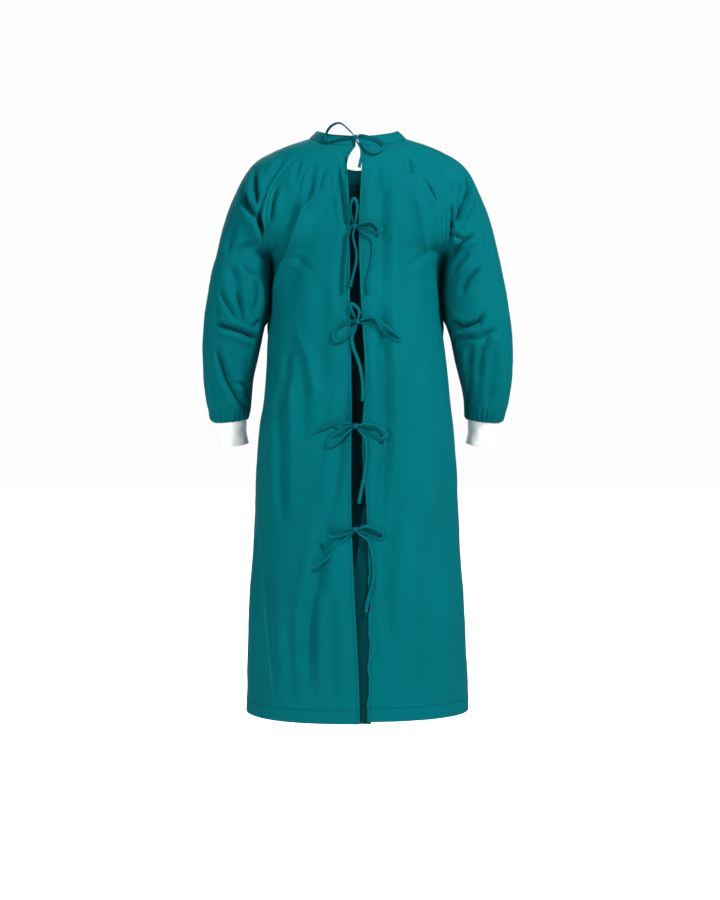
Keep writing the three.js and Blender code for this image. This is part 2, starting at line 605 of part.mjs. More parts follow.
function makeFrontPanel() {
  const grid = makeGrid(bodyRows, frontColumns, frontPoint);
  pushFolds(grid, (point, row) => (row === 0 || point.y < 0 ? 0 : foldDepth(frontFolds, point.x, point.z)));
  return grid;
}

// Sleeves: every row is two curves, behind and in front, which meet on the outermost line
const sleeveRows = seamRows + sleeveSections.length + 1;

function sleeveEndRing(side) {
  const name = sideName(side);
  const ring = cuffRings[1];
  const drop = cuffTop.z - sleeveEnd.z;
  const middleX = Math.abs(cuffTop[name]) - drop * cuffLean.inward;
  return {
    z: sleeveEnd.z,
    inner: middleX - ring.width - sleeveEnd.ring,
    outer: middleX + ring.width + sleeveEnd.ring,
    middle: cuffTop.y + drop * cuffLean.forward,
    back: ring.depth + sleeveEnd.ring,
    front: ring.depth + sleeveEnd.ring,
  };
}

function tubeCurves(side, ring) {
  const reach = 4 / 3;
  const curveTo = (depth) => new THREE.CubicBezierCurve3(
    new THREE.Vector3(side * ring.inner, ring.middle, ring.z),
    new THREE.Vector3(side * ring.inner, ring.middle + depth * reach, ring.z),
    new THREE.Vector3(side * ring.outer, ring.middle + depth * reach, ring.z),
    new THREE.Vector3(side * ring.outer, ring.middle, ring.z),
  );
  return { behind: curveTo(-ring.back), ahead: curveTo(ring.front) };
}

function capCurves(side, row) {
  const seam = raglanRows[row];
  const start = torsoPoint(seam.backZ, turnForX(side * seam[sideName(side)], seam.backZ));
  const finish = torsoPoint(seam.frontZ, side * (180 - turnForX(seam.frontX, seam.frontZ)));
  if (row === seamRows) {
    const seamColumn = side < 0 ? 'seamLeft' : 'seamRight';
    start.copy(torsoPoint(seam.backZ, side * valueAt(torsoSections, seamColumn, seam.backZ)));
    finish.copy(start);
  }
  const ridge = new THREE.Vector3(side * seam.ridgeX, -row, seam.ridgeZ);
  const curveFrom = (point, toward) => new THREE.CubicBezierCurve3(
    point,
    point.clone().add(new THREE.Vector3(side * seam.out, toward * seam.back, seam.up)),
    ridge.clone().add(new THREE.Vector3(0, toward * seam.over, -seam.drop)),
    ridge,
  );
  return { behind: curveFrom(start, -1), ahead: curveFrom(finish, 1) };
}

function sleeveRing(side, row) {
  const step = row - seamRows - 1;
  if (step >= sleeveSections.length) return sleeveEndRing(side);
  const section = sleeveSections[step];
  const left = side < 0;
  return {
    z: section.z,
    inner: left ? section.innerLeft : section.innerRight,
    outer: left ? section.outerLeft : section.outerRight,
    middle: section.middle,
    back: section.back,
    front: section.front,
  };
}

function tiltedForWrist(side, ring, point) {
  const share = smoothStep(wristTilt.startZ, wristTilt.fullZ, ring.z);
  const middleX = (ring.inner + ring.outer) / 2;
  const forward = wristTilt.back * (point.y - ring.middle);
  const outward = wristTilt.side * (Math.abs(point.x) - middleX);
  point.z += share * (forward + outward);
  return point;
}

function sleeveNeckPoint(side, at) {
  const start = neckTurnForX(raglanRows[0][sideName(side)]);
  const finish = 180 - neckTurnForX(raglanRows[0].frontX);
  const turn = at <= 1 ? start + (90 - start) * at : 90 + (finish - 90) * (at - 1);
  return neckPoint(neckSeam, side * turn);
}

// at runs from 0 at the underarm, behind, to 1 on the outermost line and 2 at the underarm again
function sleevePoint(side, row, at) {
  if (row === 0) return sleeveNeckPoint(side, at);
  const isTube = row > seamRows;
  const ring = isTube ? sleeveRing(side, row) : null;
  const curves = isTube ? tubeCurves(side, ring) : capCurves(side, row);
  const point = at <= 1 ? curves.behind.getPoint(at) : curves.ahead.getPoint(2 - at);
  return isTube ? tiltedForWrist(side, ring, point) : point;
}

function sleeveRowZ(row) {
  return row <= seamRows ? raglanRows[row].ridgeZ : sleeveRing(1, row).z;
}

function splitAt(row) {
  return valueAt(overarmSeam, 'at', sleeveRowZ(row));
}

function sleeveFoldDepth(z, at) {
  let total = 0;
  for (const fold of sleeveFolds) {
    const t = (z - fold.z1) / (fold.z2 - fold.z1 || 1);
    const level = Math.abs(fold.z2 - fold.z1) < levelFoldRise;
    const place = level ? fold.at1 : fold.at1 + (fold.at2 - fold.at1) * t;
    const aside = level ? (z - (fold.z1 + fold.z2) / 2) / levelFoldWidth : (at - place) / fold.width;
    const low = Math.min(fold.at1, fold.at2);
    const high = Math.max(fold.at1, fold.at2);
    const along = level ? (at - low) / (high - low) : t;
    const fade = smoothStep(-0.15, 0.2, along) * smoothStep(1.15, 0.8, along);
    total += fold.depth * fade * Math.exp(-(aside ** 2));
  }
  return total;
}

function makeSleevePiece(side, ahead) {
  const columns = ahead ? sleeveFrontColumns : sleeveBackColumns;
  const atFor = (row, share) => {
    const split = splitAt(row);
    return ahead ? split + (2 - split) * share : split * share;
  };
  // Rows run so that the outside of both sleeves faces out
  const ordered = (share) => (side < 0 ? 1 - share : share);
  const pointAt = (row, share) => sleevePoint(side, row, atFor(row, ordered(share)));
  const grid = makeGrid(sleeveRows, columns, pointAt);
  pushFolds(grid, (point, row, c) => {
    const share = ordered(c / columns);
    const edge = smoothStep(0, 0.12, share) * smoothStep(1, 0.88, share);
    const ends = row === 0 || row === sleeveRows ? 0 : 1;
    const z = sleeveRowZ(row);
    const at = atFor(row, share);
    const pleat = row < sleeveRows ? smoothStep(gathers.startZ, gathers.endZ, z) * gathers.depth : 0;
    const wave = c % 2 === 0 ? pleat : -pleat;
    return ends * edge * (sleeveFoldDepth(z, at) + wave);
  });
  return grid;
}

function setNeckNormals(grid, turnAt) {
  grid.normals[0].forEach((normal, c) => normal.copy(neckNormal(turnAt(grid.points[0][c]))));
}

function turnOfNeckPoint(point) {
  const depth = point.y < 0 ? neckSeam.back : neckSeam.front;
  return Math.atan2(point.x / neckSeam.width, -point.y / depth) / radians;
}

const backLeft = makeBackPanel(-1);
const backRight = makeBackPanel(1);
const front = makeFrontPanel();
const sleeves = {};
for (const side of [-1, 1]) {
  sleeves[sideName(side)] = { behind: makeSleevePiece(side, false), ahead: makeSleevePiece(side, true) };
}

// Seams: raglan, side, underarm and overarm
const halfGap = seamGap / 2;
for (const side of [-1, 1]) {
  const sleeve = sleeves[sideName(side)];
  const back = side < 0 ? backLeft : backRight;
  const first = (grid) => (side < 0 ? grid.points[0].length - 1 : 0);
  const last = (grid) => (side < 0 ? 0 : grid.points[0].length - 1);
  shareNormals(sleeve.behind, last(sleeve.behind), sleeve.ahead, first(sleeve.ahead), 0, sleeveRows);
  shareNormals(back, last(back), sleeve.behind, first(sleeve.behind), 0, seamRows);
  shareNormals(front, first(front), sleeve.ahead, last(sleeve.ahead), 0, seamRows);
  shareNormals(back, last(back), front, first(front), seamRows + 1, bodyRows);
  const tubeStart = seamRows + 1;
  shareNormals(sleeve.behind, first(sleeve.behind), sleeve.ahead, last(sleeve.ahead), tubeStart, sleeveRows);
  const underarm = new THREE.Vector3(0, 0, -1);
  back.normals[seamRows][last(back)].copy(underarm);
  front.normals[seamRows][first(front)].copy(underarm);
  sleeve.behind.normals[seamRows][first(sleeve.behind)].copy(underarm);
  sleeve.ahead.normals[seamRows][last(sleeve.ahead)].copy(underarm);
  // The sleeve's end turns in under itself, square to the cuff
  const alongArm = new THREE.Vector3(-side * cuffLean.inward, cuffLean.forward, -1).normalize();
  for (const grid of [sleeve.behind, sleeve.ahead]) {
    grid.normals[sleeveRows].forEach((normal) => normal.copy(alongArm));
  }
}
const neckGrids = [backLeft, backRight, front, sleeves.left.behind, sleeves.left.ahead,
  sleeves.right.behind, sleeves.right.ahead];
for (const grid of neckGrids) {
  setNeckNormals(grid, turnOfNeckPoint);
  pullColumn(grid, 0, halfGap);
  pullColumn(grid, grid.points[0].length - 1, halfGap);
  pullRow(grid, 0, halfGap);
}

addMesh('front_panel', wallGeometry(front, clothThickness), clothMaterial);
addMesh('back_panel_left', wallGeometry(backLeft, clothThickness), clothMaterial);
addMesh('back_panel_right', wallGeometry(backRight, clothThickness), clothMaterial);
for (const side of [-1, 1]) {
  const name = sideName(side);
  addMesh(`sleeve_back_${name}`, wallGeometry(sleeves[name].behind, clothThickness), clothMaterial);
  addMesh(`sleeve_front_${name}`, wallGeometry(sleeves[name].ahead, clothThickness), clothMaterial);
}

// Strip under the open back
function makeUnderlap() {
  const grid = makeGrid(underlapRows.length - 1, underlapColumns, (row, share) => {
    const level = underlapRows[row];
    const x = level.left + (level.right - level.left) * share;
    const point = torsoPoint(level.z, turnForX(x, level.z));
    const free = Math.min(1, 1.6 * (1 - share));
    const inset = underlapInset.sewn + (underlapInset.free - underlapInset.sewn) * free;
    point.y += foldDepth(backFolds, x, level.z) + inset;
    return point;
  });
  return grid;
}
addMesh('back_underlap', wallGeometry(makeUnderlap(), clothThickness), underlapMaterial);

// Neck band, open at the back
function makeBand() {
  const start = neckTurnForX(bandEnd.right);
  const finish = 360 + neckTurnForX(bandEnd.left);
  const grid = makeGrid(2, bandColumns, (row, share) => {
    const around = start + (finish - start) * share;
    const turn = around > 180 ? around - 360 : around;
    return neckPoint(neckTop, turn).lerp(neckPoint(neckSeam, turn), row / 2);
  });
  grid.normals[2].forEach((normal, c) => normal.copy(neckNormal(turnOfNeckPoint(grid.points[2][c]))));
  pullRow(grid, 2, seamGap);
  return grid;
}
addMesh('neck_band', wallGeometry(makeBand(), clothThickness), clothMaterial);

// Cuffs, with their points in line with those of the sleeve's end
function makeCuff(side) {
  const split = splitAt(sleeveRows);
  const places = [];
  for (let c = 0; c < sleeveBackColumns; c += 1) places.push(split * c / sleeveBackColumns);
  for (let c = 0; c < sleeveFrontColumns; c += 1) places.push(split + (2 - split) * c / sleeveFrontColumns);
  if (side < 0) places.reverse();
  const points = cuffRings.map((ring) => {
    const middleX = Math.abs(cuffTop[sideName(side)]) - ring.down * cuffLean.inward;
    const shape = {
      z: cuffTop.z - ring.down,
      inner: middleX - ring.width,
      outer: middleX + ring.width,
      middle: cuffTop.y + ring.down * cuffLean.forward,
      back: ring.depth,
      front: ring.depth,
    };
    const curves = tubeCurves(side, shape);
    return places.map((at) => {
      const point = at <= 1 ? curves.behind.getPoint(at) : curves.ahead.getPoint(2 - at);
      return tiltedForWrist(side, shape, point);
    });
  });
  return { points, normals: measureNormals(points, true) };
}
for (const side of [-1, 1]) {
  addMesh(`cuff_${sideName(side)}`, wallGeometry(makeCuff(side), knitThickness, true), knitMaterial);
}

// Ties: a knot with the two tapes that lead to it, and the loops and tails that leave it
function toManifold(geometry) {
  return new wasm.Manifold(new wasm.Mesh({
    numProp: 3,
    vertProperties: new Float32Array(geometry.getAttribute('position').array),
    triVerts: new Uint32Array(geometry.getIndex().array),
  }));
}

function fromManifold(solid) {
  const mesh = solid.getMesh();
  return geometryFrom(Array.from(mesh.vertProperties), Array.from(mesh.triVerts));
}

function liftedPoint(x, z, lift) {
  const base = neckPoint(neckSeam, neckTurnForX(x));
  if (z > base.z) {
    const top = neckPoint(neckTop, Math.asin(x / neckTop.width) / radians);
    const rise = Math.min(1, (z - base.z) / (top.z - base.z));
    return new THREE.Vector3(x, base.y + (top.y - base.y) * rise - lift, z);
  }
  const point = torsoPoint(z, turnForX(x, z));
  point.y -= lift;
  return point;
}

function sweep(stations) {
  const sides = stations[0].length;
  const positions = [];
  stations.forEach((ring) => ring.forEach((point) => positions.push(point.x, point.y, point.z)));
  const index = [];
  for (let s = 0; s < stations.length - 1; s += 1) {
    for (let k = 0; k < sides; k += 1) {
      const a = s * sides + k;
      const b = s * sides + ((k + 1) % sides);
      index.push(a, b, b + sides, a, b + sides, a + sides);
    }
  }
  const end = (stations.length - 1) * sides;
  for (let k = 1; k < sides - 1; k += 1) {
    index.push(0, k + 1, k);
    index.push(end, end + k, end + k + 1);
  }
  return geometryFrom(positions, index);
}

function makeTape(shape, extra) {
  const curve = new THREE.CatmullRomCurve3(shape.route.map(([x, z, lift]) => liftedPoint(x, z, lift)));
  const rolls = shape.route.map((point) => point[3]);
  const length = curve.getLength();
  const steps = Math.max(8, Math.round(length / tape.step));
  const stations = [];
  for (let s = 0; s <= steps; s += 1) {
    const share = s / steps;
    const place = curve.getPointAt(share);
    const along = curve.getTangentAt(share);
    const spot = curve.getUtoTmapping(share) * (rolls.length - 1);
    const before = Math.min(rolls.length - 2, Math.floor(spot));
    const roll = (rolls[before] + (rolls[before + 1] - rolls[before]) * (spot - before)) * radians;
    const fromKnot = shape.ends === 2 ? Math.min(share, 1 - share) * length : share * length;
    const full = smoothStep(0, tape.pinch, fromKnot);
    const width = tape.pinchedWidth + (tape.width - tape.pinchedWidth) * full + extra * 2;
    const across = along.clone().cross(new THREE.Vector3(0, -1, 0)).normalize();
    const outward = across.clone().cross(along).normalize();
    const wide = across.multiplyScalar(Math.cos(roll)).addScaledVector(outward, Math.sin(roll));
    const thick = wide.clone().cross(along).normalize();
    const half = tape.thickness / 2 + extra;
    stations.push([[-1, -1], [-1, 1], [1, 1], [1, -1]].map(([w, t]) => place.clone()
      .addScaledVector(wide, w * width / 2)
      .addScaledVector(thick, t * half)));
  }
  return sweep(stations);
}

function makeKnot(knot, extra) {
  const stations = [];
  for (let s = 0; s <= knotSteps; s += 1) {
    let x = knot.leadLeft + (knot.leadRight - knot.leadLeft) * s / knotSteps;
    const swell = Math.max(0, 1 - ((x - knot.x) / knot.half) ** 2) ** 0.5;
    const tall = tape.width / 2 + (knot.tall - tape.width / 2) * swell + extra;
    const thick = tape.thickness / 2 + (knot.tall * knotFlatness - tape.thickness / 2) * swell + extra;
    const rise = (knot.lift - knot.leadLift) * knotFlatness * swell;
    const middle = liftedPoint(x, knot.z, knot.leadLift + tape.thickness / 2 + rise);
    if (s === 0) x -= extra;
    if (s === knotSteps) x += extra;
    const ring = [];
    for (let k = 0; k < knotSides; k += 1) {
      const angle = (k + 0.5) * 2 * Math.PI / knotSides;
      ring.push(new THREE.Vector3(x, middle.y - thick * Math.sin(angle), middle.z + tall * Math.cos(angle)));
    }
    stations.push(ring);
  }
  return sweep(stations);
}

for (const tie of ties) {
  addMesh(`${tie.name}_knot`, makeKnot(tie.knot, 0), tapeMaterial);
  const taken = [toManifold(makeKnot(tie.knot, tieClearance))];
  for (const shape of tie.tapes) {
    let solid = toManifold(makeTape(shape, 0));
    for (const other of taken) solid = solid.subtract(other);
    addMesh(`${tie.name}_${shape.name}`, fromManifold(solid), tapeMaterial);
    taken.push(toManifold(makeTape(shape, tieClearance)));
  }
}

export default group;
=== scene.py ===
import math

import bmesh
import bpy
import numpy as np
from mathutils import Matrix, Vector, noise


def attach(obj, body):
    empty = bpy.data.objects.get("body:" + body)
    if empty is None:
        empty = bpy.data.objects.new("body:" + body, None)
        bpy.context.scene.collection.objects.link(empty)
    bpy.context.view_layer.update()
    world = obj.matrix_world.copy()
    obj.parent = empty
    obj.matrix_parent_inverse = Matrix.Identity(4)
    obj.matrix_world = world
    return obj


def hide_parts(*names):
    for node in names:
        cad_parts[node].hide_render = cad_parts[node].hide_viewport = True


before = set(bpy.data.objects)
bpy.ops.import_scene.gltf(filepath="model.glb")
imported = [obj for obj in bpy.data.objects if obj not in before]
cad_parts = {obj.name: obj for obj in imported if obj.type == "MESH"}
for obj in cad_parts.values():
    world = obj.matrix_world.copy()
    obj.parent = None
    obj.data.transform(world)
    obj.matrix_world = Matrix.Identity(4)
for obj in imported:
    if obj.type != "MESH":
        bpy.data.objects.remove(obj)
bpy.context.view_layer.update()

# A surgical gown as it is worn. The tables are a pattern in millimetres, and every mesh is written in metres.
mm = 0.001

# A level camera behind the back
viewSetup = {"place": (0.00525, -2.9, -0.653), "lens": 55.24, "sensor": 36.0}


def addObject(name, data):
    made = bpy.data.objects.new(name, data)
    bpy.context.collection.objects.link(made)
    return made


def addView(setup):
    data = bpy.data.cameras.new("view")
    data.lens = setup["lens"]
    data.sensor_width = setup["sensor"]
    camera = addObject("view", data)
    camera.location = setup["place"]
    camera.rotation_euler = (math.radians(90), 0, 0)
    bpy.context.scene.camera = camera


addView(viewSetup)

# Pattern of the torso: half widths, depths behind and in front, and how far round each side seam lies
torsoColumns = ("z", "left", "right", "back", "front", "seamLeft", "seamRight")
torsoSections = [
    (10, 90, 90, 78, 30, 86, 86),
    (-21, 103, 103, 91, 42, 86, 86),
    (-45, 165, 165, 101, 62, 86, 86),
    (-67, 198, 198, 108, 84, 86, 86),
    (-101, 233, 233, 119, 101, 86, 86),
    (-138, 255, 255, 127, 109, 86, 86),
    (-176, 262, 262, 133, 115, 86, 86),
    (-200, 250, 250, 137, 118, 86, 86),
    (-219, 226, 226, 138, 120, 86, 86),
    (-237, 200, 200, 138, 121, 86, 86),
    (-252, 181, 180, 139, 122, 86, 86),
    (-275, 177, 173, 139, 123, 86, 86),
    (-338, 175, 168, 141, 124, 86, 86),
    (-422, 188, 180, 144, 124, 86, 86),
    (-485, 191, 188, 146, 124, 85, 85),
    (-548, 196, 194, 150, 126, 85, 84),
    (-611, 205, 201, 153, 130, 83, 83),
    (-653, 209, 205, 155, 133, 82, 82),
    (-758, 213, 209, 160, 140, 75, 77),
    (-863, 219, 215, 163, 146, 62, 68),
    (-968, 226, 222, 166, 151, 56, 60),
    (-1073, 229, 227, 168, 155, 50, 55),
    (-1178, 232, 232, 169, 158, 44, 50),
    (-1200, 232, 232, 169, 158, 43, 49),
]

# The two edges of the open back, sideways from its centre
slitColumns = ("z", "left", "right")
slitEdges = [
    (-30, -5, 5), (-56, -16, 9), (-71, -22, 9), (-110, -19, 7), (-151, -17, 5), (-193, -15, 3),
    (-273, -15, 4), (-353, -15, 7), (-433, -13, 12), (-513, -12, 16), (-573, -12, 12), (-643, -12, 9),
    (-752, -12, 17), (-871, -9, 22), (-950, -5, 23), (-1029, -1, 23), (-1108, 3, 22), (-1200, 5, 20),
]

# Raglan seams from the neck to the underarm, and the top line of the shoulder beside them
raglanColumns = ("slitZ", "backZ", "left", "right", "frontX", "frontZ", "frontMidZ", "ridgeX", "ridgeZ",
                 "out", "back", "up", "over", "drop")
raglanRows = [
    (-36, -21.5, 81.4, 74.4, 78, -48, -75, 102, 0, 0, 0, 0, 0, 0),
    (-53, -43, 107, 98, 101, -62, -86, 143, -13.5, 16, -14, 13, 36, 6),
    (-74, -68, 135.5, 118, 122, -80, -101, 182, -31, 24, -10, 17, 42, 6),
    (-98, -94, 156.5, 138, 140, -100, -118, 214, -51, 30, -9, 18, 44, 5),
    (-124, -122, 173, 157, 155, -124, -138, 237, -79, 34, -8, 15, 46, 4),
    (-153, -153, 182, 171, 167, -152, -162, 254, -114, 38, -6, 11, 48, 2),
    (-184, -184, 185.5, 178, 175, -182, -188, 270, -152, 44, -3, 7, 50, 0),
    (-214, -214, 183, 180, 179, -212, -215, 282, -190, 50, 4, 3, 54, 0),
    (-237, -237, 181.5, 180, 180.5, -236, -237, 290.5, -225, 38, 34, 0, 68, 0),
    (-252, -252, 180, 179.5, 180, -252, -252, 296, -252, 8, 92, 0, 92, 0),
]

# Sleeve below the underarm: inner and outer sides, the middle of the arm, depths behind and in front
sleeveColumns = ("z", "innerLeft", "outerLeft", "innerRight", "outerRight", "middle", "back", "front")
sleeveSections = [
    (-275, 181.5, 303, 179.5, 301.5, -10, 72, 66),
    (-305, 181.5, 309, 179, 307, -10, 70, 64),
    (-340, 183, 315, 179.5, 313.5, -9, 67, 62),
    (-381, 192, 321, 184, 320, -5, 65, 60),
    (-421, 201, 325, 195.5, 326, 4, 62, 58),
    (-463, 210, 326.5, 204.5, 328, 16, 60, 56),
    (-505, 220, 326, 216, 326.5, 27, 57, 54),
    (-545, 225, 321.5, 224.5, 321, 37, 52, 50),
    (-565, 227, 317, 226.5, 316, 41, 48, 47),
    (-578, 229.5, 314, 228, 312.5, 43, 44.5, 44),
    (-586, 232, 311, 229.5, 310, 44, 41.5, 41.5),
]
overarmSeam = [(0, 1), (-100, 0.98), (-190, 0.93), (-275, 0.84), (-340, 0.75), (-460, 0.73), (-545, 0.8),
               (-600, 0.86)]
cuffColumns = ("down", "width", "depth")
cuffRings = [(0, 33.4, 36.6), (4, 33.8, 37), (16, 32.6, 36), (30, 31, 34.4), (44, 31.8, 35), (56, 33.4, 36.6)]
cuffTop = {"left": 271.5, "right": 269.8, "y": 44.5, "z": -585.5}
cuffLean = {"inward": 0.1, "forward": 0.15}
wristTilt = {"back": 0.14, "side": -0.1, "startZ": -400, "fullZ": -560}
neckSeam = {"width": 102, "back": 97, "front": 88, "backDrop": 36, "frontDrop": 75, "sideZ": 0, "curve": 1.2}
neckTop = {"width": 84, "back": 83, "front": 76, "backDrop": 29, "frontDrop": 68, "sideZ": 17, "curve": 1.2}
bandEnd = {"left": -4, "right": 3.2}
hemZ = {"left": -1196, "right": -1191.5, "front": -1193}
skirtRows = [-275, -315, -365, -420, -480, -545, -610, -680, -750, -825, -900, -980, -1060, -1130]
underlapColumns = ("z", "left", "right")
underlapRows = [
    (-768, 11, 24), (-800, 7, 25), (-850, 1, 27), (-905, -7, 29), (-960, -14, 30), (-1020, -18, 30),
    (-1080, -20, 29), (-1140, -20, 28), (-1196, -20, 27),
]

cloth = {
    "thickness": 1.6,
    "knitThickness": 2.2,
    "roundness": 0.87,
    "cell": 3,
    "backColumns": 96,
    "frontColumns": 104,
    "sleeveColumns": 78,
    "seamSteps": 9,
    "sleeveCell": 2.6,
    "edgeAngle": 50,
    "hemDepth": 28,
    "unevenness": 0.9,
}


# Reading the pattern tables
def tableOf(columns, rows):
    data = np.array(rows, float)
    return {name: data[:, place] for place, name in enumerate(columns)}


torso = tableOf(torsoColumns, torsoSections)
slit = tableOf(slitColumns, slitEdges)
raglan = tableOf(raglanColumns, raglanRows)
sleeveShape = tableOf(sleeveColumns, sleeveSections)
overarm = tableOf(("z", "at"), overarmSeam)
cuffShape = tableOf(cuffColumns, cuffRings)
underlapShape = tableOf(underlapColumns, underlapRows)


def through(knots, values, at, levelEnds=False):
    # Smooth curve through the values
    knots = np.asarray(knots, float)
    values = np.asarray(values, float)
    flat = values.reshape(len(knots), -1)
    slope = np.zeros_like(flat)
    slope[1:-1] = (flat[2:] - flat[:-2]) / (knots[2:] - knots[:-2])[:, None]
    if not levelEnds:
        slope[0] = (flat[1] - flat[0]) / (knots[1] - knots[0])
        slope[-1] = (flat[-1] - flat[-2]) / (knots[-1] - knots[-2])
    at = np.clip(np.asarray(at, float), knots[0], knots[-1])
    row = np.clip(np.searchsorted(knots, at, side="right") - 1, 0, len(knots) - 2)
    span = (knots[row + 1] - knots[row])[..., None]
    t = (at - knots[row])[..., None] / span
    line = flat[row] + (flat[row + 1] - flat[row]) * t * t * (3 - 2 * t)
    bend = t * (1 - t) * span * ((1 - t) * slope[row] - t * slope[row + 1])
    return (line + bend).reshape(at.shape + values.shape[1:])


def valueAt(table, name, z):
    return through(-table["z"], table[name], -np.asarray(z, float), levelEnds=True)


def smoothStep(edge, full, value):
    t = np.clip((np.asarray(value, float) - edge) / (full - edge), 0, 1)
    return t * t * (3 - 2 * t)


def torsoPoint(z, turn):
    z, turn = np.broadcast_arrays(np.asarray(z, float), np.asarray(turn, float))
    width = np.where(turn < 0, valueAt(torso, "left", z), valueAt(torso, "right", z))
    angle = np.radians(np.abs(turn))
    depth = np.where(angle < np.pi / 2, -valueAt(torso, "back", z), valueAt(torso, "front", z))
    x = np.sign(turn) * width * np.abs(np.sin(angle)) ** cloth["roundness"]
    return np.stack([x, depth * np.abs(np.cos(angle)) ** cloth["roundness"], z], -1)


def turnForX(x, z):
    x, z = np.broadcast_arrays(np.asarray(x, float), np.asarray(z, float))
    width = np.where(x < 0, valueAt(torso, "left", z), valueAt(torso, "right", z))
    share = np.minimum(0.9995, np.abs(x) / width)
    return np.sign(x) * np.degrees(np.arcsin(share ** (1 / cloth["roundness"])))


def neckPoint(shape, turn):
    turn = np.asarray(turn, float)
    angle = np.radians(np.abs(turn))
    behind = np.cos(angle) > 0
    reach = np.abs(np.cos(angle))
    y = np.where(behind, -shape["back"], shape["front"]) * reach
    drop = np.where(behind, shape["backDrop"], shape["frontDrop"]) * reach ** shape["curve"]
    return np.stack([np.sign(turn) * shape["width"] * np.sin(angle), y, shape["sideZ"] - drop], -1)


def neckTurnForX(x):
    return math.degrees(math.asin(x / neckSeam["width"]))


def sideName(side):
    return "left" if side < 0 else "right"


def gridNormals(points):
    across = np.gradient(points, axis=1)
    down = np.gradient(points, axis=0)
    normal = np.cross(down, across)
    return normal / np.maximum(np.linalg.norm(normal, axis=-1, keepdims=True), 1e-9)


def lengthsAlong(points, axis):
    step = np.linalg.norm(np.diff(points, axis=axis), axis=-1)
    run = np.cumsum(step, axis=axis)
    first = np.zeros_like(np.take(run, [0], axis=axis))
    return np.concatenate([first, run], axis=axis)


# How a trough fades at its ends, how crisp a narrow one is, and the ridge beside it, in half widths
trough = {"fadeIn": 0.22, "fadeOut": 0.72, "crispness": 0.55, "crispReach": 0.6, "ridge": 0.4, "ridgeAt": 1.7,
          "ridgeReach": 0.9}


def crease(x, z, creases, strength=1.0):
    # Depth of troughs that follow lines, each with a low ridge beside it. A last value makes the middle
    # of a trough crisp.
    total = np.zeros_like(x)
    for line, width, depth, *crisp in creases:
        depth *= strength
        best = np.full_like(x, 1e9)
        along = np.zeros_like(x)
        run = 0
        for (x1, z1), (x2, z2) in zip(line, line[1:]):
            stepX, stepZ = x2 - x1, z2 - z1
            length = math.hypot(stepX, stepZ)
            t = np.clip(((x - x1) * stepX + (z - z1) * stepZ) / length ** 2, 0, 1)
            distance = np.hypot(x - x1 - t * stepX, z - z1 - t * stepZ)
            nearer = distance < best
            best = np.where(nearer, distance, best)
            along = np.where(nearer, run + t * length, along)
            run += length
        share = along / run
        fade = smoothStep(0, trough["fadeIn"], share) * smoothStep(1, trough["fadeOut"], share)
        sharp = crisp[0] if crisp else trough["crispness"] * smoothStep(15, 8, width)
        ridge = np.exp(-((best - trough["ridgeAt"] * width) / (trough["ridgeReach"] * width)) ** 2)
        soft = np.exp(-(best / width) ** 2)
        narrow = np.exp(-best / (trough["crispReach"] * width))
        total += depth * fade * ((1 - sharp) * soft + sharp * narrow - trough["ridge"] * ridge)
    return total


def shadeOf(x, z, creases, strength):
    # Painted shade inside folds: only narrow crisp folds, close enough to be dark inside, darken the cloth's
    # colour
    narrow = [fold for fold in creases if len(fold) > 3 and fold[1] <= 8 and fold[2] > 0]
    return np.maximum(crease(x, z, narrow, strength), 0)


def unevenness(points, amount, size=70):
    shifts = np.empty(points.shape[:2])
    for place in np.ndindex(points.shape[:2]):
        spot = Vector(points[place])
        low = noise.noise(spot / size)
        fine = noise.noise(spot / (size * 0.33) + Vector((7, 3, 1)))
        shifts[place] = amount * (low + 0.35 * fine)
    return shifts


def newPiece(name, bm, node, material):
    mesh = bpy.data.meshes.new(name)
    bm.to_mesh(mesh)
    bm.free()
    for face in mesh.polygons:
        face.use_smooth = True
    mesh.set_sharp_from_angle(angle=math.radians(cloth["edgeAngle"]))
    piece = addObject(name, mesh)
    mesh.materials.append(material)
    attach(piece, "root")
    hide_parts(node)
    return piece


def gridOf(points, uv, marks):
    # A grid whose corners are moved to the pattern's points, with its cloth map and its marks
    rows, columns = points.shape[0] - 1, points.shape[1] - 1
    bm = bmesh.new()
    bmesh.ops.create_grid(bm, x_segments=columns, y_segments=rows, size=0.5)
    layers = {name: bm.verts.layers.float.new(name) for name in marks}
    places = {vert: (round((0.5 - vert.co.y) * rows), round((vert.co.x + 0.5) * columns))
              for vert in bm.verts}
    for vert, place in places.items():
        vert.co = Vector(points[place]) * mm
        for name, layer in layers.items():
            vert[layer] = marks[name][place] * mm
    clothMap = bm.loops.layers.uv.new("clothMap")
    for face in bm.faces:
        for loop in face.loops:
            loop[clothMap].uv = uv[places[loop.vert]] * mm
    return bm


def sheetPiece(name, node, points, marks, material, uv=None):
    if uv is None:
        uv = np.stack([lengthsAlong(points, 1), -lengthsAlong(points, 0)], -1)
    bm = gridOf(points, uv, marks)
    piece = newPiece(name, bm, node, material)
    wall = piece.modifiers.new("wall", "SOLIDIFY")
    wall.thickness = cloth["thickness"] * mm
    wall.offset = -1
    made = bpy.data.meshes.new_from_object(piece.evaluated_get(bpy.context.evaluated_depsgraph_get()))
    piece.modifiers.clear()
    piece.data = made
    made.set_sharp_from_angle(angle=math.radians(cloth["edgeAngle"]))
    return piece


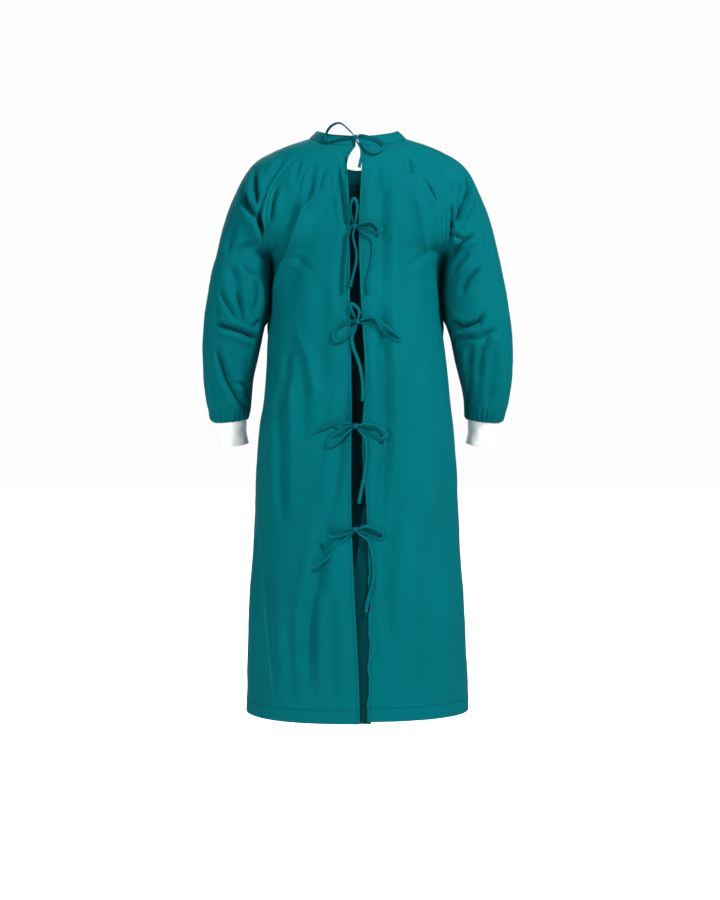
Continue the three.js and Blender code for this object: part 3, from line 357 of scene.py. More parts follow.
def tubePiece(name, node, rings, marks, material, joined=False):
    # Rings of points round a piece. The last point of a ring meets its first.
    def shut(values):
        wide = np.concatenate([values, values[:, :1]], axis=1)
        return np.concatenate([wide, wide[:1]], axis=0) if joined else wide

    closed = shut(rings)
    allMarks = {key: shut(values) for key, values in marks.items()}
    uv = np.stack([lengthsAlong(closed, 1), lengthsAlong(closed, 0)], -1)
    bm = gridOf(closed, uv, allMarks)
    bmesh.ops.remove_doubles(bm, verts=bm.verts, dist=1e-6)
    if not joined:
        rim = [edge for edge in bm.edges if edge.is_boundary]
        bmesh.ops.holes_fill(bm, edges=rim, sides=0)
    bmesh.ops.recalc_face_normals(bm, faces=bm.faces)
    return newPiece(name, bm, node, material)


def addNode(tree, kind, links=None, **settings):
    made = tree.nodes.new(kind)
    for key, value in settings.items():
        setattr(made, key, value)
    for socket, source in (links or {}).items():
        if isinstance(source, bpy.types.NodeSocket):
            tree.links.new(source, made.inputs[socket])
        else:
            made.inputs[socket].default_value = source
    return made


def calc(tree, operation, *values):
    made = tree.nodes.new("ShaderNodeMath")
    made.operation = operation
    for place, value in enumerate(values):
        if isinstance(value, bpy.types.NodeSocket):
            tree.links.new(value, made.inputs[place])
        else:
            made.inputs[place].default_value = value
    return made.outputs[0]


def times(tree, first, second):
    return calc(tree, "MULTIPLY", first, second)


def timesPlus(tree, first, second, more):
    return calc(tree, "MULTIPLY_ADD", first, second, more)


def markNode(tree, name):
    return addNode(tree, "ShaderNodeAttribute", attribute_name=name).outputs["Fac"]


def stepNode(tree, value, start, end, low=0.0, high=1.0):
    made = addNode(tree, "ShaderNodeMapRange", {0: value, 1: start, 2: end, 3: low, 4: high},
                   interpolation_type="SMOOTHSTEP")
    return made.outputs[0]


def noiseNode(tree, place, scale, detail, distortion=0.0):
    return addNode(tree, "ShaderNodeTexNoise", {"Vector": place, "Scale": scale, "Detail": detail,
                                                "Distortion": distortion}).outputs[0]


def newGroup(name, inputs, outputs):
    # An input without a value takes a vector
    tree = bpy.data.node_groups.new(name, "ShaderNodeTree")
    for label, value in inputs.items():
        kind = "NodeSocketVector" if value is None else "NodeSocketFloat"
        socket = tree.interface.new_socket(label, in_out="INPUT", socket_type=kind)
        if value is not None:
            socket.default_value = value
    for label in outputs:
        tree.interface.new_socket(label, in_out="OUTPUT", socket_type="NodeSocketFloat")
    start = tree.nodes.new("NodeGroupInput")
    end = tree.nodes.new("NodeGroupOutput")
    return tree, start.outputs, end.inputs


def buildWeave():
    # Plain weave: threads over and under, with thicker and thinner yarns
    tree, given, result = newGroup("plainWeave", {"Map": None, "Threads": 1500.0}, ("Height", "Yarn"))
    parts = addNode(tree, "ShaderNodeSeparateXYZ", {0: given["Map"]})
    turns = times(tree, given["Threads"], math.pi)
    across = calc(tree, "SINE", times(tree, parts.outputs[0], turns))
    down = calc(tree, "SINE", times(tree, parts.outputs[1], turns))
    over = times(tree, across, down)
    tree.links.new(timesPlus(tree, over, 0.5, 0.5), result["Height"])
    yarns = []
    for stretch in ((900, 22, 1), (22, 900, 1)):
        placed = addNode(tree, "ShaderNodeMapping", {0: given["Map"], 3: stretch})
        yarns.append(noiseNode(tree, placed.outputs[0], 1.0, 2.0))
    both = calc(tree, "ADD", yarns[0], yarns[1])
    tree.links.new(times(tree, both, 0.5), result["Yarn"])
    return tree


def buildCrumple():
    # Small soft dents of washed cloth
    tree, given, result = newGroup(
        "softCrumple", {"Place": None, "Scale": 14.0, "Drape": 0.0}, ("Height", "Wash"))
    place, scale = given["Place"], given["Scale"]
    wide = noiseNode(tree, place, scale, 3.0, 0.5)
    small = noiseNode(tree, place, times(tree, scale, 4.0), 2.0, 0.8)
    hung = addNode(tree, "ShaderNodeMapping", {0: place, 3: (1, 1, 0.14)})
    drape = noiseNode(tree, hung.outputs[0], times(tree, scale, 2.6), 2.0, 0.3)
    mixed = timesPlus(tree, small, 0.3, times(tree, wide, 0.7))
    tree.links.new(timesPlus(tree, drape, given["Drape"], mixed), result["Height"])
    tree.links.new(noiseNode(tree, place, 5.0, 3.0), result["Wash"])
    return tree


def buildStitch():
    # A row of machine stitches at a distance from an edge
    tree, given, result = newGroup(
        "stitchRow", {"Distance": 1.0, "Offset": 0.005, "Along": 0.0, "Pitch": 0.0028}, ("Thread", "Sink"))
    away = calc(tree, "ABSOLUTE", calc(tree, "SUBTRACT", given["Distance"], given["Offset"]))
    line = stepNode(tree, away, 0.0003, 0.0007, 1.0, 0.0)
    dash = calc(tree, "PINGPONG", calc(tree, "DIVIDE", given["Along"], given["Pitch"]), 0.5)
    tree.links.new(times(tree, line, stepNode(tree, dash, 0.08, 0.16)), result["Thread"])
    tree.links.new(stepNode(tree, away, 0.0002, 0.0022, 1.0, 0.0), result["Sink"])
    return tree


def buildSeam():
    # Cloth dips into a seam, and the pressed allowance lifts it beside the seam
    tree, given, result = newGroup(
        "sewnSeam", {"Distance": 1.0, "Allowance": 0.009}, ("Height", "Crease", "RidgeHighlight"))
    crease = stepNode(tree, given["Distance"], 0.0002, 0.002, 1.0, 0.0)
    past = calc(tree, "SUBTRACT", given["Distance"], given["Allowance"])
    lifted = stepNode(tree, past, -0.0006, 0.0012, 1.0, 0.0)
    height = calc(tree, "SUBTRACT", times(tree, lifted, 0.35), crease)
    tree.links.new(height, result["Height"])
    tree.links.new(crease, result["Crease"])
    # Painted highlight: a pale line on the raised edge just beside the seam
    near = stepNode(tree, calc(tree, "ABSOLUTE", calc(tree, "SUBTRACT", given["Distance"], 0.0024)),
                    0.0005, 0.003, 1.0, 0.0)
    tree.links.new(near, result["RidgeHighlight"])
    return tree


weaveGroup = buildWeave()
crumpleGroup = buildCrumple()
stitchGroup = buildStitch()
seamGroup = buildSeam()


def mixColour(tree, share, first, second):
    made = addNode(tree, "ShaderNodeMix", {0: share, 6: first, 7: second}, data_type="RGBA")
    return made.outputs[2]


def newMaterial(name):
    material = bpy.data.materials.new(name)
    material.use_nodes = True
    tree = material.node_tree
    tree.nodes.clear()
    return material, tree


def finishMaterial(tree, colour, rough, height, look):
    bump = addNode(tree, "ShaderNodeBump", {"Height": height, "Strength": look["relief"], "Distance": mm})
    shader = addNode(tree, "ShaderNodeBsdfPrincipled", {
        "Base Color": colour, "Roughness": rough, "Normal": bump.outputs[0],
        "Specular IOR Level": look["shine"], "Sheen Weight": look["sheen"],
        "Sheen Roughness": 0.5, "Sheen Tint": look["sheenTint"]})
    out = tree.nodes.new("ShaderNodeOutputMaterial")
    tree.links.new(shader.outputs[0], out.inputs[0])


def clothMaterial(name, look):
    material, tree = newMaterial(name)
    clothMap = addNode(tree, "ShaderNodeUVMap", uv_map="clothMap").outputs[0]
    place = tree.nodes.new("ShaderNodeTexCoord").outputs["Object"]
    weave = addNode(tree, "ShaderNodeGroup", {"Map": clothMap, "Threads": look["threads"]},
                    node_tree=weaveGroup)
    crumple = addNode(tree, "ShaderNodeGroup", {"Place": place, "Scale": look["crumpleScale"],
                                                "Drape": look["drape"]}, node_tree=crumpleGroup)
    parts = addNode(tree, "ShaderNodeSeparateXYZ", {0: clothMap})
    tone = mixColour(tree, weave.outputs["Yarn"], look["dark"], look["light"])
    tone = mixColour(tree, stepNode(tree, crumple.outputs["Wash"], 0.35, 0.7, 0.0, 0.35), tone, look["faded"])
    # Painted shade: the colour darkens towards deep inside narrow crisp creases
    fold = markNode(tree, "paintedFoldShade")
    tone = mixColour(tree, stepNode(tree, fold, 0.0015, 0.011, 0.0, look["foldShade"]), tone, look["deep"])
    height = times(tree, weave.outputs["Height"], look["weaveDepth"])
    height = timesPlus(tree, crumple.outputs["Height"], look["crumpleDepth"], height)
    for mark, allowance in look["seams"]:
        distance = markNode(tree, mark)
        seam = addNode(tree, "ShaderNodeGroup", {"Distance": distance, "Allowance": allowance},
                       node_tree=seamGroup)
        height = timesPlus(tree, seam.outputs["Height"], look["seamDepth"], height)
        tone = mixColour(tree, times(tree, seam.outputs["Crease"], 0.5), tone, look["shadow"])
        # Painted highlight along the raised edge beside the seam
        tone = mixColour(tree, times(tree, seam.outputs["RidgeHighlight"], look["ridgeHighlight"]), tone, look["pale"])
    for mark, offset, axis in look["stitches"]:
        distance = markNode(tree, mark)
        stitch = addNode(tree, "ShaderNodeGroup", {"Distance": distance, "Offset": offset,
                                                   "Along": parts.outputs[axis]}, node_tree=stitchGroup)
        height = timesPlus(tree, stitch.outputs["Sink"], -0.5, height)
        height = timesPlus(tree, stitch.outputs["Thread"], 0.2, height)
        tone = mixColour(tree, times(tree, stitch.outputs["Sink"], 0.45), tone, look["shadow"])
        tone = mixColour(tree, times(tree, stitch.outputs["Thread"], look["threadShare"]), tone,
                         look["pale"])
    rough = stepNode(tree, weave.outputs["Yarn"], 0.3, 0.7, look["rough"] - 0.05, look["rough"] + 0.05)
    finishMaterial(tree, tone, rough, height, look)
    return material


def linear(red, green, blue):
    def channel(value):
        value /= 255
        return value / 12.92 if value <= 0.04045 else ((value + 0.055) / 1.055) ** 2.4
    return (channel(red), channel(green), channel(blue), 1)


clothLook = {
    "threads": 1500.0, "weaveDepth": 0.09, "crumpleScale": 11.0, "crumpleDepth": 0.9, "drape": 1.0,
    "dark": linear(0, 80, 86), "light": linear(0, 94, 101), "faded": linear(0, 97, 103),
    # deep and foldShade give the painted shade inside narrow creases
    "shadow": linear(0, 43, 47), "deep": linear(0, 22, 25), "foldShade": 0.85, "pale": linear(8, 120, 127),
    # pale is the thread's colour and also the painted highlight beside seams, whose share is ridgeHighlight
    "ridgeHighlight": 0.2,
    "seams": [("seamDistance", 0.009)], "seamDepth": 0.55,
    "stitches": [("slitDistance", 0.0055, 1), ("hemDistance", 0.027, 0)], "threadShare": 0.35,
    "rough": 0.8, "relief": 1.0, "shine": 0.02, "sheen": 0.02, "sheenTint": linear(0, 150, 160),
}
bandLook = dict(clothLook, stitches=[("bandEdge", 0.0022, 0)], seams=[("seamDistance", 0.03)],
                crumpleDepth=0.5)
# The strip is the gown's cloth in darker colours: painted shade for the strip lying behind the left panel
shadedUnderlapLook = dict(clothLook, dark=linear(0, 45, 49), light=linear(0, 54, 58), faded=linear(0, 54, 58),
                    stitches=[("seamLine", 0.0, 0)], seams=[], crumpleDepth=1.2)
tapeLook = dict(clothLook, threads=1300.0, drape=0.0, crumpleScale=60.0, crumpleDepth=0.3, seams=[],
                threadShare=0.12, stitches=[("tapeAcross", 0.0024, 1)], dark=linear(0, 84, 90),
                light=linear(0, 99, 106))
gownCloth = clothMaterial("gownCloth", clothLook)
bandCloth = clothMaterial("bandCloth", bandLook)
shadedUnderlapCloth = clothMaterial("shadedUnderlapCloth", shadedUnderlapLook)
tieTape = clothMaterial("tieTape", tapeLook)

knitLook = {
    "ribs": 620.0, "ribDepth": 0.35, "stitchDepth": 0.12, "white": linear(248, 248, 249),
    "furrowShade": linear(231, 232, 234), "rough": 0.9, "relief": 0.8, "shine": 0.2, "sheen": 0.15,
    "sheenTint": (1, 1, 1, 1),
}


def knitMaterial(name, look):
    # Fine ribs with the small stitches across them
    material, tree = newMaterial(name)
    clothMap = addNode(tree, "ShaderNodeUVMap", uv_map="clothMap").outputs[0]
    place = tree.nodes.new("ShaderNodeTexCoord").outputs["Object"]
    parts = addNode(tree, "ShaderNodeSeparateXYZ", {0: clothMap})
    turns = look["ribs"] * 2 * math.pi
    rib = timesPlus(tree, calc(tree, "SINE", times(tree, parts.outputs[0], turns)), 0.5, 0.5)
    slant = calc(tree, "ADD", times(tree, parts.outputs[1], turns * 1.3), times(tree, rib, 2.0))
    loops = timesPlus(tree, calc(tree, "SINE", slant), 0.5, 0.5)
    crumple = addNode(tree, "ShaderNodeGroup", {"Place": place, "Scale": 30.0}, node_tree=crumpleGroup)
    height = times(tree, rib, look["ribDepth"])
    height = timesPlus(tree, loops, look["stitchDepth"], height)
    height = timesPlus(tree, crumple.outputs["Height"], 0.9, height)
    distance = markNode(tree, "cuffTop")
    stitch = addNode(tree, "ShaderNodeGroup", {"Distance": distance, "Offset": 0.0035,
                                               "Along": parts.outputs[0]}, node_tree=stitchGroup)
    height = timesPlus(tree, stitch.outputs["Sink"], -0.6, height)
    # Painted shade: the knit's colour darkens in the rib furrows and in the sunk stitch row
    tone = mixColour(tree, timesPlus(tree, rib, 0.7, 0.3), look["furrowShade"], look["white"])
    tone = mixColour(tree, times(tree, stitch.outputs["Sink"], 0.4), tone, look["furrowShade"])
    finishMaterial(tree, tone, look["rough"], height, look)
    return material


cuffKnit = knitMaterial("cuffKnit", knitLook)
print("materials made")

# Ties. More roll is added where a tape stands on its edge.
tape = {"width": 7, "thickness": 1.1, "pinchedWidth": 3.2, "pinch": 9, "step": 1.6, "hem": 7, "hemRise": 0.35}
edgeOn = {"loop": 8, "tie_neck_loop_left": 48, "tie_upper_loop": 18, "tie_upper_tail": 34,
          "tie_neck_tail": 25}
tapeSection = [(-1, -0.5), (-1, 0.5), (-0.93, 1), (-0.8, 1), (-0.68, 0.72), (-0.5, 0.8), (0, 0.8), (0.5, 0.8),
               (0.68, 0.72), (0.8, 1), (0.93, 1), (1, 0.5), (1, -0.5), (0.93, -1), (0.8, -1), (0.68, -0.72),
               (0, -0.8), (-0.68, -0.72), (-0.8, -1), (-0.93, -1)]
knotShape = {"lift": 8, "tall": 5, "flatness": 0.75, "stations": 70, "corners": 28}
knotColumns = ("x", "z", "half", "leadLeft", "leadRight", "leadLift")
tieKnots = {
    "tie_neck": (-4.5, -17, 6.5, -15, 9, 1.8),
    "tie_upper": (-5.5, -206, 6, -19, 7, 0.4),
    "tie_middle": (0, -397.5, 6.5, -18, 13, 0.4),
    "tie_waist": (-3, -605.5, 7, -17, 15, 0.4),
    "tie_lower": (-3.5, -810.5, 7, -16, 25, 0.4),
}

# Each point of a route has its place on the back, its lift off the cloth and its roll
tieRoutes = {
    "tie_neck_loop_left": [
        (-8, -11, 8, 25), (-20, 1, 9, 25), (-30, 10.5, 9, 25), (-40, 14.5, 8, 20), (-51, 12, 7, 10),
        (-59, 6, 7, 0), (-65, -5, 7, 0), (-66, -15, 7, 0), (-60, -22, 7, 0), (-45, -20.5, 7, 15),
        (-27, -17, 7, 25), (-11, -17, 8, 30),
    ],
    "tie_neck_loop_right": [
        (0, -17.5, 8, 25), (11, -33, 8, 25), (23, -46, 7, 20), (34, -51, 6, 10), (45, -47, 6, 0),
        (52.5, -38, 7, 0), (49, -28.5, 7, 10), (38, -22.5, 7, 20), (19, -16, 8, 25), (2, -12, 8, 30),
    ],
    "tie_neck_tail": [
        (-5, -21, 8, 30), (1.5, -32, 7, 30), (7.5, -44, 5, 20), (8.5, -58, 5, 15), (6, -71, 5, 10),
        (3.5, -84, 5, 10),
    ],
    "tie_upper_loop_up": [
        (-7.5, -201, 8, 25), (-12, -187, 9, 25), (-14, -172, 9, 20), (-12, -157, 9, 10),
        (-6.5, -149.5, 9, 0), (-1.5, -156, 9, 10), (0, -171, 9, 20), (-2, -186, 9, 25), (-4, -200, 8, 30),
    ],
    "tie_upper_loop_right": [
        (0, -203, 9, 30), (12, -200, 9, 30), (26, -198, 8, 25), (39, -201, 7, 10), (48, -208, 6, 0),
        (47, -216, 6, 0), (38, -219, 6, 10), (24, -215, 7, 25), (11, -210.5, 8, 30), (1, -208, 8, 30),
    ],
    "tie_upper_tail_left": [
        (-9.5, -209, 7, 25), (-16, -216, 6, 20), (-18, -229, 4.5, 10), (-19, -250, 4, 10),
        (-22.5, -279, 4, 10), (-24, -308, 4, 5), (-25.5, -335, 4, 10),
    ],
    "tie_upper_tail_middle": [
        (-6, -211, 8, 30), (-8.5, -224, 8, 25), (-6.5, -238, 7, 20), (-3, -252, 6, 20),
        (-1.5, -268, 5, 20), (-4, -286, 5, 15), (-9, -306, 5, 15), (-14, -327, 4, 10),
    ],
    "tie_upper_tail_right": [
        (0, -210, 7, 20), (10, -218, 5.5, 15), (22, -225, 4.5, 10), (30, -236, 4, 10), (31, -257, 4, 10),
        (29, -278, 4, 10), (24, -298, 4, 10), (21, -320, 4, 10), (22, -340, 4, 10),
    ],
    "tie_middle_loop_left": [
        (-5, -395, 9, 30), (-18, -396, 9, 30), (-31, -402, 8, 25), (-42, -411, 6, 15), (-48, -422, 5, 5),
        (-46, -432, 5, 0), (-38, -436.5, 5, 10), (-27, -432, 7, 20), (-16, -421, 9, 25),
        (-6, -404, 10, 30),
    ],
    "tie_middle_loop_right": [
        (5, -394, 9, 35), (16, -391, 9, 35), (32, -388.5, 9, 35), (54, -403, 8, 30), (77, -420, 6, 20),
        (86, -430, 5, 10), (78, -435, 5, 15), (59, -423, 6, 30), (44, -412, 7, 30), (25, -402.5, 8, 30),
        (6, -400.5, 8, 35),
    ],
    "tie_middle_tail": [
        (0, -401, 5, 20), (-6, -413, 4, 10), (-11, -430, 4, 10), (-8, -448, 4, 15), (-1, -468, 5, 15),
        (6, -490, 5, 15), (10, -514, 5, 15), (11, -536, 5, 15), (10, -556, 5, 10),
    ],
    "tie_middle_loop_up": [
        (-3.5, -393.5, 8, 30), (-9, -380, 8, 25), (-13.5, -369, 8, 15), (-12, -361.5, 8, 5),
        (-5, -365, 8, 10), (2, -372, 8, 15), (4, -380, 8, 25), (1, -393.5, 8, 30),
    ],
    "tie_waist_tail_left": [
        (-8.5, -602, 9, 25), (-24, -598.5, 9, 20), (-38, -599, 8, 15), (-54, -603.5, 6, 10),
        (-69, -609.5, 5, 10), (-82, -616.5, 4, 10),
    ],
    "tie_waist_loop_left": [
        (-8.5, -606, 8, 25), (-17, -605.5, 8, 25), (-31, -612, 7, 20), (-45, -621.5, 6, 15),
        (-56, -632, 5, 5), (-59, -640.5, 5, 0), (-54, -646, 5, 5), (-46, -642, 5, 15), (-36, -633, 6, 20),
        (-23, -621, 7, 25), (-9, -611, 8, 30),
    ],
    "tie_waist_loop_right": [
        (3.5, -603.5, 9, 30), (15, -601, 9, 30), (30, -602.5, 8, 25), (44, -607.5, 7, 15),
        (56, -615, 6, 5), (59, -623, 5, 0), (53, -629.5, 5, 5), (40, -628.5, 6, 20), (26, -623, 7, 25),
        (14, -616, 8, 25), (4, -609.5, 8, 30),
    ],
    "tie_waist_tail_right": [
        (0, -611, 7, 25), (9, -619, 5, 20), (15.5, -630, 4, 15), (18, -645, 4, 10), (18.5, -667, 4, 10),
        (16, -690, 4, 15), (12, -714, 4, 15), (7, -738, 5, 15), (3, -759, 5, 10),
    ],
    "tie_lower_loop_left": [
        (-9, -808.5, 9.5, 40), (-23, -812, 9.5, 45), (-38, -814.5, 9, 45), (-52, -815.5, 8, 35),
        (-58, -820, 7, 20), (-52, -825, 6, 20), (-38, -823.5, 6, 30), (-23, -819.5, 7, 30),
        (-9.5, -814, 8, 30),
    ],
    "tie_lower_tail_left": [
        (-8, -816.5, 5, 20), (-20, -826, 4, 15), (-34, -838, 4, 10), (-47, -853, 4, 10),
        (-61, -869, 4, 10), (-82, -884, 4, 10),
    ],
    "tie_lower_loop_right": [
        (3.5, -808, 9, 30), (18, -803.5, 9, 30), (34, -808, 8, 25), (49, -815.5, 6, 15),
        (53, -823, 5, 10), (48, -829.5, 5, 10), (37, -826.5, 6, 25), (22, -819.5, 7, 30),
        (4, -812.5, 8, 30),
    ],
    "tie_lower_tail_right": [
        (0, -816, 7, 25), (13, -824, 4.5, 20), (22, -832, 4, 15), (27, -845, 4, 15), (31, -864, 4, 15),
        (33, -885, 4, 15), (32.5, -906, 4, 20), (28.5, -925, 4, 20), (23, -942, 4, 15), (19, -960, 4, 10),
        (17.5, -974, 4, 10),
    ],
}


def liftedPoint(x, z, lift):
    base = neckPoint(neckSeam, neckTurnForX(x))
    if z > base[2]:
        top = neckPoint(neckTop, math.degrees(math.asin(x / neckTop["width"])))
        rise = min(1, (z - base[2]) / (top[2] - base[2]))
        return np.array([x, base[1] + (top[1] - base[1]) * rise - lift, z])
    return torsoPoint(z, turnForX(x, z)) - np.array([0, lift, 0])


def tapeCentre(route):
    # Evenly spaced points along a route, with the roll at each
    points = np.array([liftedPoint(x, z, lift) for x, z, lift, roll in route])
    rolls = np.array([roll for x, z, lift, roll in route], float)
    knots = np.concatenate([[0], np.cumsum(np.linalg.norm(np.diff(points, axis=0), axis=1) ** 0.5)])
    close = through(knots, points, np.linspace(0, knots[-1], 800))
    runs = np.concatenate([[0], np.cumsum(np.linalg.norm(np.diff(close, axis=0), axis=1))])
    steps = max(12, round(runs[-1] / tape["step"]))
    even = np.linspace(0, runs[-1], steps + 1)
    spots = np.interp(even, runs, np.linspace(0, knots[-1], 800))
    return through(knots, points, spots), through(knots, rolls, spots), even


def makeTapePiece(node, route):
    centre, rolls, runs = tapeCentre(route)
    length = runs[-1]
    loop = "loop" in node
    along = np.gradient(centre, axis=0)
    along /= np.linalg.norm(along, axis=1, keepdims=True)
    across = np.cross(along, (0, -1, 0))
    across /= np.linalg.norm(across, axis=1, keepdims=True)
    outward = np.cross(across, along)
    more = sum(roll for part, roll in edgeOn.items() if part in node)
    turn = np.radians(rolls + more)[:, None]
    wide = across * np.cos(turn) + outward * np.sin(turn)
    thick = np.cross(wide, along)
    fromKnot = np.minimum(runs, length - runs) if loop else runs
    full = smoothStep(0, tape["pinch"], fromKnot)
    halfWidth = (tape["pinchedWidth"] + (tape["width"] - tape["pinchedWidth"]) * full) / 2
    halfThick = np.full_like(runs, tape["thickness"] / 2)
    if not loop:
        # The free end is turned over and sewn
        halfThick += tape["hemRise"] * smoothStep(length - tape["hem"], length - tape["hem"] + 1.5, runs)
    section = np.array(tapeSection, float)
    rings = (centre[:, None]
             + wide[:, None] * (section[None, :, :1] * halfWidth[:, None, None])
             + thick[:, None] * (section[None, :, 1:] * halfThick[:, None, None]))
    rings = rings[:, ::-1]
    marks = {"tapeAcross": np.abs(section[None, ::-1, 0] * halfWidth[:, None])}
    piece = tubePiece(node.replace("tie_", "tape_"), node, rings, marks, tieTape)


def makeKnotPiece(tieName, knot):
    # The two sewn tapes come in from the sides and pass under a tight wrap
    xs = np.linspace(knot["leadLeft"], knot["leadRight"], knotShape["stations"])
    swell = np.sqrt(np.maximum(0, 1 - ((xs - knot["x"]) / knot["half"]) ** 2))
    tall = tape["width"] / 2 + (knotShape["tall"] - tape["width"] / 2) * swell
    flat = knotShape["tall"] * knotShape["flatness"]
    thick = tape["thickness"] / 2 + (flat - tape["thickness"] / 2) * swell
    rise = (knotShape["lift"] - knot["leadLift"]) * knotShape["flatness"] * swell
    angles = (np.arange(knotShape["corners"]) + 0.5) * 2 * np.pi / knotShape["corners"]
    rings = []
    across = []
    for x, up, deep, lift in zip(xs, tall, thick, rise):
        middle = liftedPoint(x, knot["z"], knot["leadLift"] + tape["thickness"] / 2 + lift)
        away = (x - knot["x"]) / knot["half"]
        lean = away - 0.22 * np.cos(angles)
        groove = np.exp(-((np.abs(lean) - 0.5) / 0.11) ** 2) if abs(away) < 1 else 0 * angles
        wrap = 1 - 0.2 * groove + 0.06 * np.exp(-(lean / 0.4) ** 2) * (abs(away) < 1)
        pleat = 1 + 0.04 * np.sin(angles * 6 + away * 5)
        ring = np.stack([np.full_like(angles, x), middle[1] - deep * np.sin(angles) * wrap * pleat,
                         middle[2] + up * np.cos(angles) * wrap], -1)
        rings.append(ring)
        across.append(np.abs(up * np.cos(angles)))
    name = tieName + "_knot"
    return tubePiece(name.replace("tie_", "tape_"), name, np.array(rings), {"tapeAcross": np.array(across)},
                     tieTape)


for tieName, row in tieKnots.items():
    knotPiece = makeKnotPiece(tieName, dict(zip(knotColumns, row)))
    for node, route in tieRoutes.items():
        if node.startswith(tieName):
            makeTapePiece(node, route)
print("ties made")

# Troughs of the back as lines in its own plane, each with a half width, a depth and, where it is crisp,
# how crisp. A negative depth is a ridge.
backCreases = [
    ([(-88, -60), (-104, -175)], 9, 3, 0.6),
    ([(-24, -84), (-66, -128), (-107, -169), (-137, -241), (-165, -313), (-177, -390)], 17, -7.5, 0.85),
    ([(-126, -150), (-148, -222), (-168, -290)], 15, 5.5, 0.2),
    ([(-164, -112), (-173, -150), (-176, -200)], 7, 5, 0.8),
    ([(-96, -66), (-112, -100), (-122, -140)], 6, 2.6, 0.7),
    ([(-26, -56), (-24, -80), (-25, -112)], 4, 3.2, 0.8),
    ([(-66, -82), (-74, -110), (-78, -150)], 6, 2.4, 0.7),
    ([(-41, -76), (-33, -130), (-28, -169), (-21, -226)], 6, 5, 0.85),
    ([(47, -80), (49, -220), (49, -370)], 14, 5.6, 0.35),
    ([(49, -330), (54, -480), (58, -660)], 13, 7.5, 0.45),
    ([(58, -600), (54, -700), (49, -850)], 13, 7, 0.45),
    ([(114, -112), (128, -191), (143, -271), (159, -331), (170, -392)], 11, -4.6, 0.9),
    ([(141, -104), (152, -128), (166, -158)], 6, 4.4, 0.8),
    ([(168, -120), (172, -158), (173, -210)], 6, 4, 0.8),
    ([(108, -46), (108.5, -72), (110, -102)], 5, 3.6, 0.85),
    ([(84, -680), (73, -792), (62, -900), (60, -1080)], 13, 6, 0.5),
    ([(-20, -505), (-27, -583), (-40, -690), (-56, -800)], 12, 5, 0.45),
    ([(-50, -760), (-76, -887), (-94, -985), (-101, -1165)], 15, 8, 0.5),
    ([(-157, -490), (-154, -640), (-153, -820)], 12, 5, 0.55),
    ([(-139, -440), (-144, -510), (-156, -580)], 9, 3.6, 0.6),
    ([(-128, -400), (-98, -470), (-80, -560)], 12, -3, 0.7),
    ([(150, -760), (146, -950), (139, -1180)], 22, 5),
    ([(-31, -84), (-65, -127), (-115, -203)], 8, 1.8),
    ([(-33, -40), (-29, -62), (-26, -90)], 5, 1.4),
    ([(-116, -60), (-129, -128)], 7, 2.2),
    ([(-21, -210), (-33, -293), (-35, -353), (-28, -395)], 10, 2.4),
    ([(-114, -500), (-110, -570), (-107, -650)], 14, 2.6),
    ([(-192, -850), (-177, -1029), (-166, -1170)], 15, 3.4),
    ([(46, -66), (40, -110), (28, -190)], 7, 2.2),
    ([(122, -72), (138, -110), (153, -150)], 7, 2.2),
    ([(92, -190), (104, -300), (110, -420)], 14, 2.4),
    ([(120, -430), (112, -560), (108, -700)], 16, 3),
    ([(28, -860), (34, -980), (36, -1130)], 12, 2.6),
    ([(-62, -900), (-52, -1040), (-48, -1180)], 13, 3),
    ([(-140, -980), (-134, -1080), (-132, -1185)], 15, 3),
    ([(176, -620), (182, -800), (186, -960)], 14, 3),
    ([(-70, -300), (-72, -420), (-66, -540)], 16, 2.2),
    ([(-160, -250), (-120, -268), (-84, -300)], 8, 1.8),
    ([(165, -240), (128, -262), (98, -296)], 8, 1.8),
]
frontCreases = [
    ([(-70, -100), (-88, -240), (-108, -400)], 18, 5),
    ([(66, -100), (82, -230), (102, -390)], 18, 5),
    ([(-38, -380), (-55, -780), (-72, -1180)], 24, 8),
    ([(58, -420), (72, -800), (86, -1185)], 24, 7),
    ([(-148, -560), (-158, -900), (-166, -1185)], 24, 6),
    ([(8, -660), (11, -900), (14, -1185)], 22, 4),
    ([(-140, -150), (-110, -230), (-96, -330)], 12, 3),
    ([(140, -150), (112, -230), (100, -330)], 12, 3),
    ([(-22, -110), (-26, -250), (-20, -420)], 14, 2.4),
    ([(26, -120), (30, -260), (24, -430)], 14, 2.2),
    ([(150, -640), (158, -900), (160, -1180)], 20, 4),
    ([(-104, -760), (-112, -960), (-116, -1180)], 16, 3.4),
]

seamRows = len(raglanRows) - 1
bodySplits = [cloth["seamSteps"]] * seamRows
heights = [-252] + skirtRows + [-1194]
bodySplits += [max(2, round((high - low) / cloth["cell"])) for high, low in zip(heights, heights[1:])]


def finePlaces(splits):
    places = [row + step / count for row, count in enumerate(splits) for step in range(count)]
    return np.array(places + [len(splits)])


def seamOf(row, name):
    return raglan[name][row]


def backRowPoints(side, row, shares):
    name = sideName(side)
    if row == 0:
        edge = neckTurnForX(bandEnd[name])
        finish = neckTurnForX(side * seamOf(0, name))
        return neckPoint(neckSeam, edge + (finish - edge) * shares)
    if row <= seamRows:
        slitZ, endZ = seamOf(row, "slitZ"), seamOf(row, "backZ")
        end = turnForX(side * seamOf(row, name), endZ)
    else:
        step = row - seamRows - 1
        slitZ = endZ = skirtRows[step] if step < len(skirtRows) else hemZ[name]
        end = side * valueAt(torso, "seam" + name.capitalize(), slitZ)
    edge = turnForX(valueAt(slit, name, slitZ), slitZ)
    return torsoPoint(slitZ + (endZ - slitZ) * shares, edge + (end - edge) * shares)


